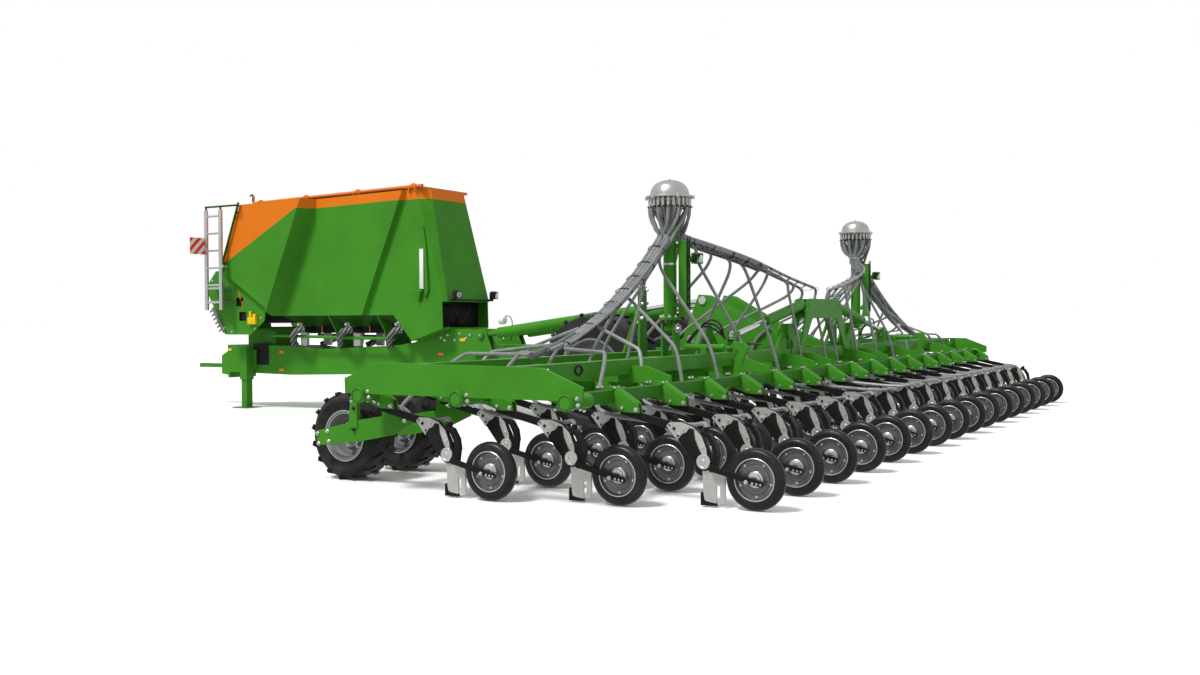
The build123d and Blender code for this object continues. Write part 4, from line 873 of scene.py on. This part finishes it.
def ties(line, spots, ends):
    """A black tie round the hoses that are still in the bundle at each Y."""
    places = []
    outward = 1 if line is OUTER_LINE else -1
    for y in spots:
        ahead = (on_line(line, y + 0.05) - on_line(line, y - 0.05)).normalized()
        left = [place for place, end in zip(bundle_places(line, len(ends)), ends)
                if (end[3] - y) * outward > -0.05]
        if not left:
            continue
        spans = [(min(column), max(column)) for column in zip(*left)]
        half_across, half_up = [(high - low) / 2 + HOSE + 0.002 for low, high in spans]
        middle_x, middle_z = [(high + low) / 2 for low, high in spans]
        side_way = Vector((1, 0, 0))
        up_way = side_way.cross(ahead).normalized()
        turn = Matrix((side_way * half_across, up_way * half_up * 1.05, ahead)).transposed().to_4x4()
        places.append(at(*(on_line(line, y) + Vector((middle_x, 0, middle_z)))) @ turn)
    return places


def joined(meshes):
    """One mesh from several, which are in the same place."""
    whole = bmesh.new()
    for mesh in meshes:
        data = bpy.data.meshes.new("line")
        mesh.to_mesh(data)
        whole.from_mesh(data)
        bpy.data.meshes.remove(data)
    return whole


def bend(hoses, node, start, end):
    """Bakes the hoses' place into their mesh and hides the CAD node they stand for; start and end are not
    used.
    """
    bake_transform(hoses)
    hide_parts(node)


feeds = [tube_along([(1.86, 2.64 - d, 1.06), (1.78 - d, 2.56, 1.23 + d), (1.66 - d, 2.42, 1.2 + d),
                    (1.6, 2.3 + d, 1.075), (1.56, 2.1, 1.035 + 0.4 * d), (1.53, 1.6, 1.03)], FEED_RADIUS)
        for d in (0.0, 0.03, 0.062)]
cut_sleeve = tube_along([(1.88, 4.65, 1.165), (1.862, 4.95, 1.075), (1.855, 5.3, 1.015)], 0.03)
braid_sleeve = tube_along(INNER_LINE[1:4], 0.056)
for section, flip in HALVES:
    side = 1 if section == "left" else -1

    def spot(x, y, z):
        return (REAR_AXLES + x, side * y, z)

    put_together(f"hydraulic_lines_{section}", CARRIERS[section], [
        (feed, line_black, [flip]) for feed in feeds])
    outer_ties = ties(OUTER_LINE, [3.05 + 0.23 * i for i in range(10)], outer_ends)
    hoses = put_together(f"outer_hoses_{section}", None, [
        *((tube_along(line, HOSE), seed_grey, [flip])
          for line in hose_lines(OUTER_LINE, outer_angles, outer_ends, side > 0)),
        (tie_ring, tie_black, [flip @ place for place in outer_ties]), (cut_sleeve, sleeve_grey, [flip])])
    bend(hoses, f"seed_hoses_{section}", spot(*MAST, 2.0), spot(*MAST, 1.2))
    inner_ties = ties(INNER_LINE, [2.5 - 0.21 * i for i in range(12)], inner_ends)
    inner = [tube_along(line, HOSE) for line in hose_lines(INNER_LINE, inner_angles, inner_ends, side > 0)]
    for half, upper in (("upper", True), ("lower", False)):
        whole = joined(inner)
        cut = bmesh.ops.bisect_plane(whole, geom=whole.verts[:] + whole.edges[:] + whole.faces[:],
                                     plane_co=(0, INNER_CUT, 0), plane_no=(0, 1, 0),
                                     clear_inner=upper, clear_outer=not upper)
        bmesh.ops.edgeloop_fill(whole, edges=[item for item in cut["geom_cut"]
                                              if isinstance(item, bmesh.types.BMEdge)])
        own_ties = [flip @ place for place in inner_ties if (place.translation.y > INNER_CUT) == upper]
        parts = [(whole, seed_grey, [flip]), (tie_ring, tie_black, own_ties)]
        if upper:
            parts.append((braid_sleeve, braid, [flip]))
        hoses = put_together(f"inner_hoses_{half}_{section}", None, parts)
        if upper:
            bend(hoses, f"seed_hoses_{section}", spot(*MAST, 2.2), spot(MAST[0], 2.0, 1.3))
        else:
            bend(hoses, "seed_hoses_centre", spot(1.5, INNER_CUT, 1.8),
                 spot(1.5, 0.75, 1.8))


# ---- hopper ----
# Welded sheet steel with folded steps, sprayed green. An orange band runs all round under the
# rim, and the front panels are orange above a slanting line. A white strip shows the level.

ORANGE = (0.74, 0.185, 0.01)
RIM_START = (6.77, 3.03)
RIM_FALL = 0.0222
BAND = 0.125
SLANT = (8.82, 2.858)
SLANT_FALL = 0.5176
FRONT_PANEL_Y = 0.79
NOSE_X = 9.6


def orange_part(paint):
    """The mask of the orange band, the front panels and the nose."""
    x = paint.along(0) - REAR_AXLES
    z = paint.along(2)
    band = z > (RIM_START[1] - BAND + RIM_FALL * RIM_START[0]) - x * RIM_FALL
    slant = z > (SLANT[1] + SLANT_FALL * SLANT[0]) - x * SLANT_FALL
    y = paint.along(1)
    front = ((y * y) > FRONT_PANEL_Y ** 2).larger(x > NOSE_X)
    return band.larger(slant * front)


hopper_paint = painted("hopper_paint", GREEN, 0.34, 0.02, ORANGE, orange_part, True)
folded_green = painted("folded_green", GREEN, 0.34, flat=True)
orange_paint = painted("orange_paint", ORANGE, 0.34)
dress(("hopper_shell",), hopper_paint)
dress(("hopper_supports", "drawbar_beam", "front_console", "hitch_head"), folded_green)
# painted shade: the cloth's orange is darker down in its creases, on the same noise that raises them
cover_cloth = Finish("cover_cloth", Sheen_Weight=0.15, Specular_IOR_Level=0.35)
creases_and_painted_shade = cover_cloth.noise(3.2, 4.0, (0.35, 1.6, 1.0))
thread = cover_cloth.noise(650.0, 1.0)
dress(("hopper_cover",), cover_cloth.vary(
    Base_Color=cover_cloth.blend(cover_cloth.band(creases_and_painted_shade, 0.35, 0.7), shade_of(ORANGE, 0.8), ORANGE),
    Roughness=cover_cloth.spread(creases_and_painted_shade, 0.5, 0.66),
    Normal=cover_cloth.bump(thread, 0.0004, 0.4, cover_cloth.bump(creases_and_painted_shade, 0.02, 0.5))))
white_film = painted("white_film", (0.8, 0.8, 0.78), 0.35)


def rim_height(x):
    """The height of the hopper's rim."""
    return RIM_START[1] - RIM_FALL * (x - RIM_START[0])


roller = turned([
    (24.5, -40), (34, -40), (34, -12), (44, -8), (44, 8), (34, 12), (34, 40), (24.5, 40)], 24)
bearing = plate([(-30, -85), (30, -85), (36, -20), (20, 16), (-20, 16), (-36, -20)], -6, 6, 2)
gauge_box = plate([(0, 0), (67, 0), (67, 532), (0, 532)], 0, 14, 4)
gauge_foot = plate([
    (4, 0), (150, 0), (150, -30), (110, -40), (70, -150), (50, -150), (30, -30), (4, -30)], 0, 50, 4)
gauge_rib = plate([(6775, 2540), (6745, 1580), (6690, 1700), (6735, 2300)], 0, 30, 3)
step_bolt = bolt(16, 12)
brackets = [at(x, 0.5, rim_height(x) + 0.045) for x in (6.95, 7.93, 8.9, 9.8)]
put_together("hopper_fittings", "root", [
    (roller, orange_paint, [bracket @ TO_FRONT for bracket in brackets]),
    (bearing, orange_paint, [bracket @ shift(x, 0.01, 0.0) @ turn_by(90, "Z")
                             for bracket in brackets for x in (-0.05, 0.05)]),
    (small_bolt, bright_zinc, [bracket @ shift(x, 0.018, -0.055) @ TO_LEFT
                               for bracket in brackets for x in (-0.05, 0.05)]),
    (gauge_box, white_film, [at(6.785, 0.5005, 1.702)]),
    (gauge_foot, green_paint, [at(6.785, 0.5005, 1.69)]),
    (gauge_rib, green_paint, [at(0, 0.4995, 0)]),
    (step_bolt, bright_zinc, all_at(AS_IT_IS, 0.536, (7.456, 2.294), (7.505, 2.187)))])
hook = tube_along([(9.955, 0.5, 3.0), (9.975, 0.5, 3.05), (9.96, 0.5, 3.12),
                   (9.99, 0.5, 3.15), (10.02, 0.5, 3.11)], 0.01)
put_together("cover_crank", "root", [(hook, dark_steel, [AS_IT_IS])])


# ---- metering units ----
# A green funnel in painted shade, a black metering unit with plated outlets and a pair of
# corrugated air hoses stand under each third of the hopper. Silver knobs and orange levers
# set the flow.

# painted shade: the funnels under the hopper get a darker copy of the green paint
shaded_green = painted("shaded_green", (0.017, 0.085, 0.007), 0.4, flat=True)
# painted shade: the handrails get a darker copy of the green paint
rail_painted_shade = painted("rail_painted_shade", (0.02, 0.09, 0.01), 0.4)
dress(("handrails",), rail_painted_shade)
dress(("hopper_funnels",), shaded_green)
dress(("metering_units",), dark_steel)
# painted shade and highlight: the hose is near black between its ribs and grey on their crests, on the same
# bands that raise them
ridged = Finish("ridged_hose", Specular_IOR_Level=0.5)
ridges = ridged.node("TexWave", {"wave_type": "BANDS", "bands_direction": "DIAGONAL"},
                     {"Vector": ridged.where(), "Scale": 8.0, "Distortion": 0.3})
ridged_hose = ridged.vary(
    Base_Color=ridged.blend(ridges, (0.012, 0.012, 0.012), (0.26, 0.265, 0.265)),
    Roughness=ridged.band(ridges, 0.0, 1.0, 0.62, 0.4), Normal=ridged.bump(ridges, 0.012, 0.9))
METERS = (7.2, 8.1, 9.0)
air_lines = [tube_along([(x, 0.475, 1.16), (x + 0.03, 0.56, 1.16), (x + 0.13, 0.545, 1.1),
                         (x + 0.26, 0.42, 1.01), (x + 0.39, 0.27, 0.925)], 0.045, 12) for x in METERS]
air_hoses = put_together("ridged_air_hoses", "root", [
    (line, ridged_hose, [AS_IT_IS, MIRRORED]) for line in air_lines])
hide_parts("air_hoses")
knob = turned([(0, 0), (30, 0), (34, 10), (34, 45), (26, 52), (20, 80), (0, 82)], 18, closed=False)
band_clip = turned([(45.5, -8), (49, -8), (49, 8), (45.5, 8)], 24)
lever = plate([(-8, 0), (8, 0), (12, 85), (30, 105), (24, 118), (-4, 98)], -4, 4, 2)
post = plate([(-60, 0), (60, 0), (60, 200), (-60, 200)], -30, 30, 6)
fittings = []
for _, flip in HALVES:
    def by_outlets(x, y, z, facing):
        return [flip @ at(meter + x, 0.47 + y, 1.16 + z) @ facing for meter in METERS]

    fittings += [
        (knob, bright_zinc, by_outlets(0.06, -0.03, 0.075, TO_LEFT)),
        (band_clip, bright_zinc, by_outlets(0, 0.03, 0, TO_LEFT)),
        (small_bolt, bright_zinc, by_outlets(0.05, 0.03, 0, TO_FRONT)),
        (lever, orange_paint, by_outlets(-0.16, -0.2, -0.045, AS_IT_IS)),
        (post, white_film, [flip @ at(x, 0.235, 0.925) for x in (8.19, 9.21)])]
put_together("metering_fittings", "root", fittings)


# ---- locker and rear lamps ----
# An open locker under the hopper's rear wall holds a strap. Above it is a rail with two work
# lamps on short stalks.

dress(("rear_lamps",), dark_steel)
put_together("rear_lamp_heads", "root", lamp_parts([
    at(6.3, side * 0.414, 1.625) @ turn_by(-12 * side, "Z") @ turn_by(-12, "Y") for side in (1, -1)]))
strap_black = rubber("strap_black", (0.012, 0.012, 0.012), 0.6)
strap = tube_along([(6.6, 0.2, 1.5), (6.52, 0.16, 1.38), (6.56, 0.05, 1.25), (6.6, -0.02, 1.23),
                    (6.58, -0.1, 1.3), (6.56, -0.16, 1.42), (6.6, -0.2, 1.5)], 0.016)
# painted shade: a black box fills the open locker, where its inside lies dark
locker_shade_box = rounded_box(150, 970, 310, 20, 2)
put_together("locker_strap", "root", [
    (strap, strap_black, [AS_IT_IS]), (locker_shade_box, lamp_black, [at(6.7, 0, 1.355)])])


# ---- drawbar ----
# A deep box beam with plated pivot pins, bolts and small reflectors. The lift cylinders'
# barrels end in cast bosses, and their rods and those of the fold cylinders are chromed.

dress(("fold_rod", "lift_rods"), mottled(
    "chrome_rod", (0.72, 0.73, 0.74), (0.86, 0.87, 0.87), (40.0, 4.0, (1, 1, 6)), (0.3, 0.7), (0.1, 0.22),
    Metallic=1.0))
reflector_orange = painted("reflector_orange", (0.86, 0.19, 0.01), 0.2, 0.6)
reflector_yellow = painted("reflector_yellow", (0.8, 0.5, 0.02), 0.2, 0.6)
reflector = plate([(-45, -20), (45, -20), (45, 20), (-45, 20)], 0, 8, 3)
# painted shade: a thin black plate on each side of the drawbar's nose, where a recess lies dark
recess_shade_plate = plate([(-165, -160), (165, -160), (165, 160), (-165, 160)], 0, 2, 0.8)
pin_head = turned([(0, 30), (42, 30), (48, 24), (48, 0), (0, 0)], 28, closed=False)
WALL_Y = 0.3003
drawbar_parts = []
tilt_pins = []
for _, flip in HALVES:
    drawbar_parts += [
        (reflector, reflector_orange, all_at(
            flip, WALL_Y, (9.611, 0.831), (9.615, 0.567), (6.667, 0.834), facing=AS_IT_IS)),
        (reflector, reflector_yellow, all_at(flip, WALL_Y, (6.3, 1.024), (10.7, 0.855), facing=AS_IT_IS)),
        (clamp_bolt, bright_zinc, all_at(
            flip, WALL_Y, (6.665, 1.055), (6.55, 1.09), (6.35, 1.105), (6.183, 1.09), (6.25, 1.045),
            (6.431, 1.023), (6.6, 1.02))),
        (pin_head, green_paint, all_at(flip, 0.412, (5.92, 1.09))),
        (arm_bolt, bright_zinc, all_at(flip, 0.442, (5.92, 1.09)))]
    tilt_pins.append((pin_head, bright_zinc, all_at(flip, 0.405, (2.9, 1.05), (2.75, 1.5))))
beacon = turned([(0, 0), (55, 0), (55, 50), (50, 70), (30, 82), (0, 85)], 24, closed=False)
beacon_wire = tube_along([(5.64, 0.345, 1.29), (5.62, 0.33, 1.34), (5.52, 0.32, 1.335),
                          (5.48, 0.32, 1.24), (5.52, 0.31, 1.02)], 0.006)
side_rails = [tube_along([(9.62, y, 1.075), (7.33, y, 1.035)], 0.022) for y in (0.46, -0.46)]
put_together("drawbar_fittings", "root", [
    *drawbar_parts, (beacon, white_film, [at(5.65, 0.36, 1.285) @ TO_REAR]),
    (beacon_wire, line_black, [AS_IT_IS]), *((rail, green_paint, [AS_IT_IS]) for rail in side_rails),
    (recess_shade_plate, lamp_black, [flip @ at(10.04, WALL_Y, 0.797) for _, flip in HALVES])])
put_together("tilt_pins", "tool_frame", tilt_pins)


# ---- console and ladder ----
# Under the nose the side plates carry the controls, a yellow hook and a grey hose comb. The
# bare aluminium ladder stands on the left, with a red and white board at its head.

dress(("ladder",), mottled(
    "brushed_aluminium", (0.5, 0.51, 0.52), (0.72, 0.73, 0.74), (60.0, 3.0, (6, 6, 0.6)), (0.3, 0.7),
    (0.28, 0.46), depth=0.0004, strength=0.4, Metallic=0.9))
film = Finish("striped_film", Coat_Weight=0.4, Coat_Roughness=0.1)
STRIPE_WIDTH = 0.0705
stripe = ((film.along(1) + film.along(2)) % (2 * STRIPE_WIDTH)) < STRIPE_WIDTH
dress(("marker_panels",), film.vary(
    Base_Color=film.blend(stripe, (0.75, 0.045, 0.02), (0.8, 0.8, 0.78)),
    Roughness=film.spread(film.noise(20.0, 3.0), 0.25, 0.4)))
comb_plate = [(10604, 1483), (10560, 1500), (10334, 1160), (10334, 1113), (10370, 1110)]
TEETH = 6
for i in range(TEETH):
    share = (i + 0.5) / TEETH
    x, z = 10385 + 215 * share, 1125 + 345 * share
    comb_plate += [(x, z), (x + 55, z - 30), (x + 65, z - 12), (x + 18, z + 22)]
comb = plate(comb_plate, 0, 12, 2)
yellow = painted("yellow_paint", (0.78, 0.52, 0.01), 0.35, 0.2)
yellow_hook = plate([
    (-80, 0), (80, 0), (80, 100), (45, 100), (45, 190), (10, 190), (10, 100), (-30, 100), (-30, 150),
    (-80, 150)], 0, 50, 5)
# A dark box behind the cut-outs in the side plates: it stands in for the parts inside, and is painted shade
# in the holes
dark_backing_box = rounded_box(330, 1340, 420, 20, 2)
put_together("console_fittings", "root", [
    (dark_backing_box, dark_steel, [at(10.02, 0, 1.465)]),
    (comb, rim_grey, [at(0, 0.712, 0)]),
    (yellow_hook, yellow, [at(9.75, 0.7065, 1.24)]),
    (lever, orange_paint, [at(9.97, 0.707, 1.46), at(10.02, 0.707, 1.6)]),
    (clamp_bolt, bright_zinc, all_at(AS_IT_IS, 0.7061, (9.6, 1.33), (9.72, 1.18), (10.2, 1.13),
                                     (10.36, 1.18), (10.56, 1.56), (10.6, 1.88), (10.4, 1.96)))])
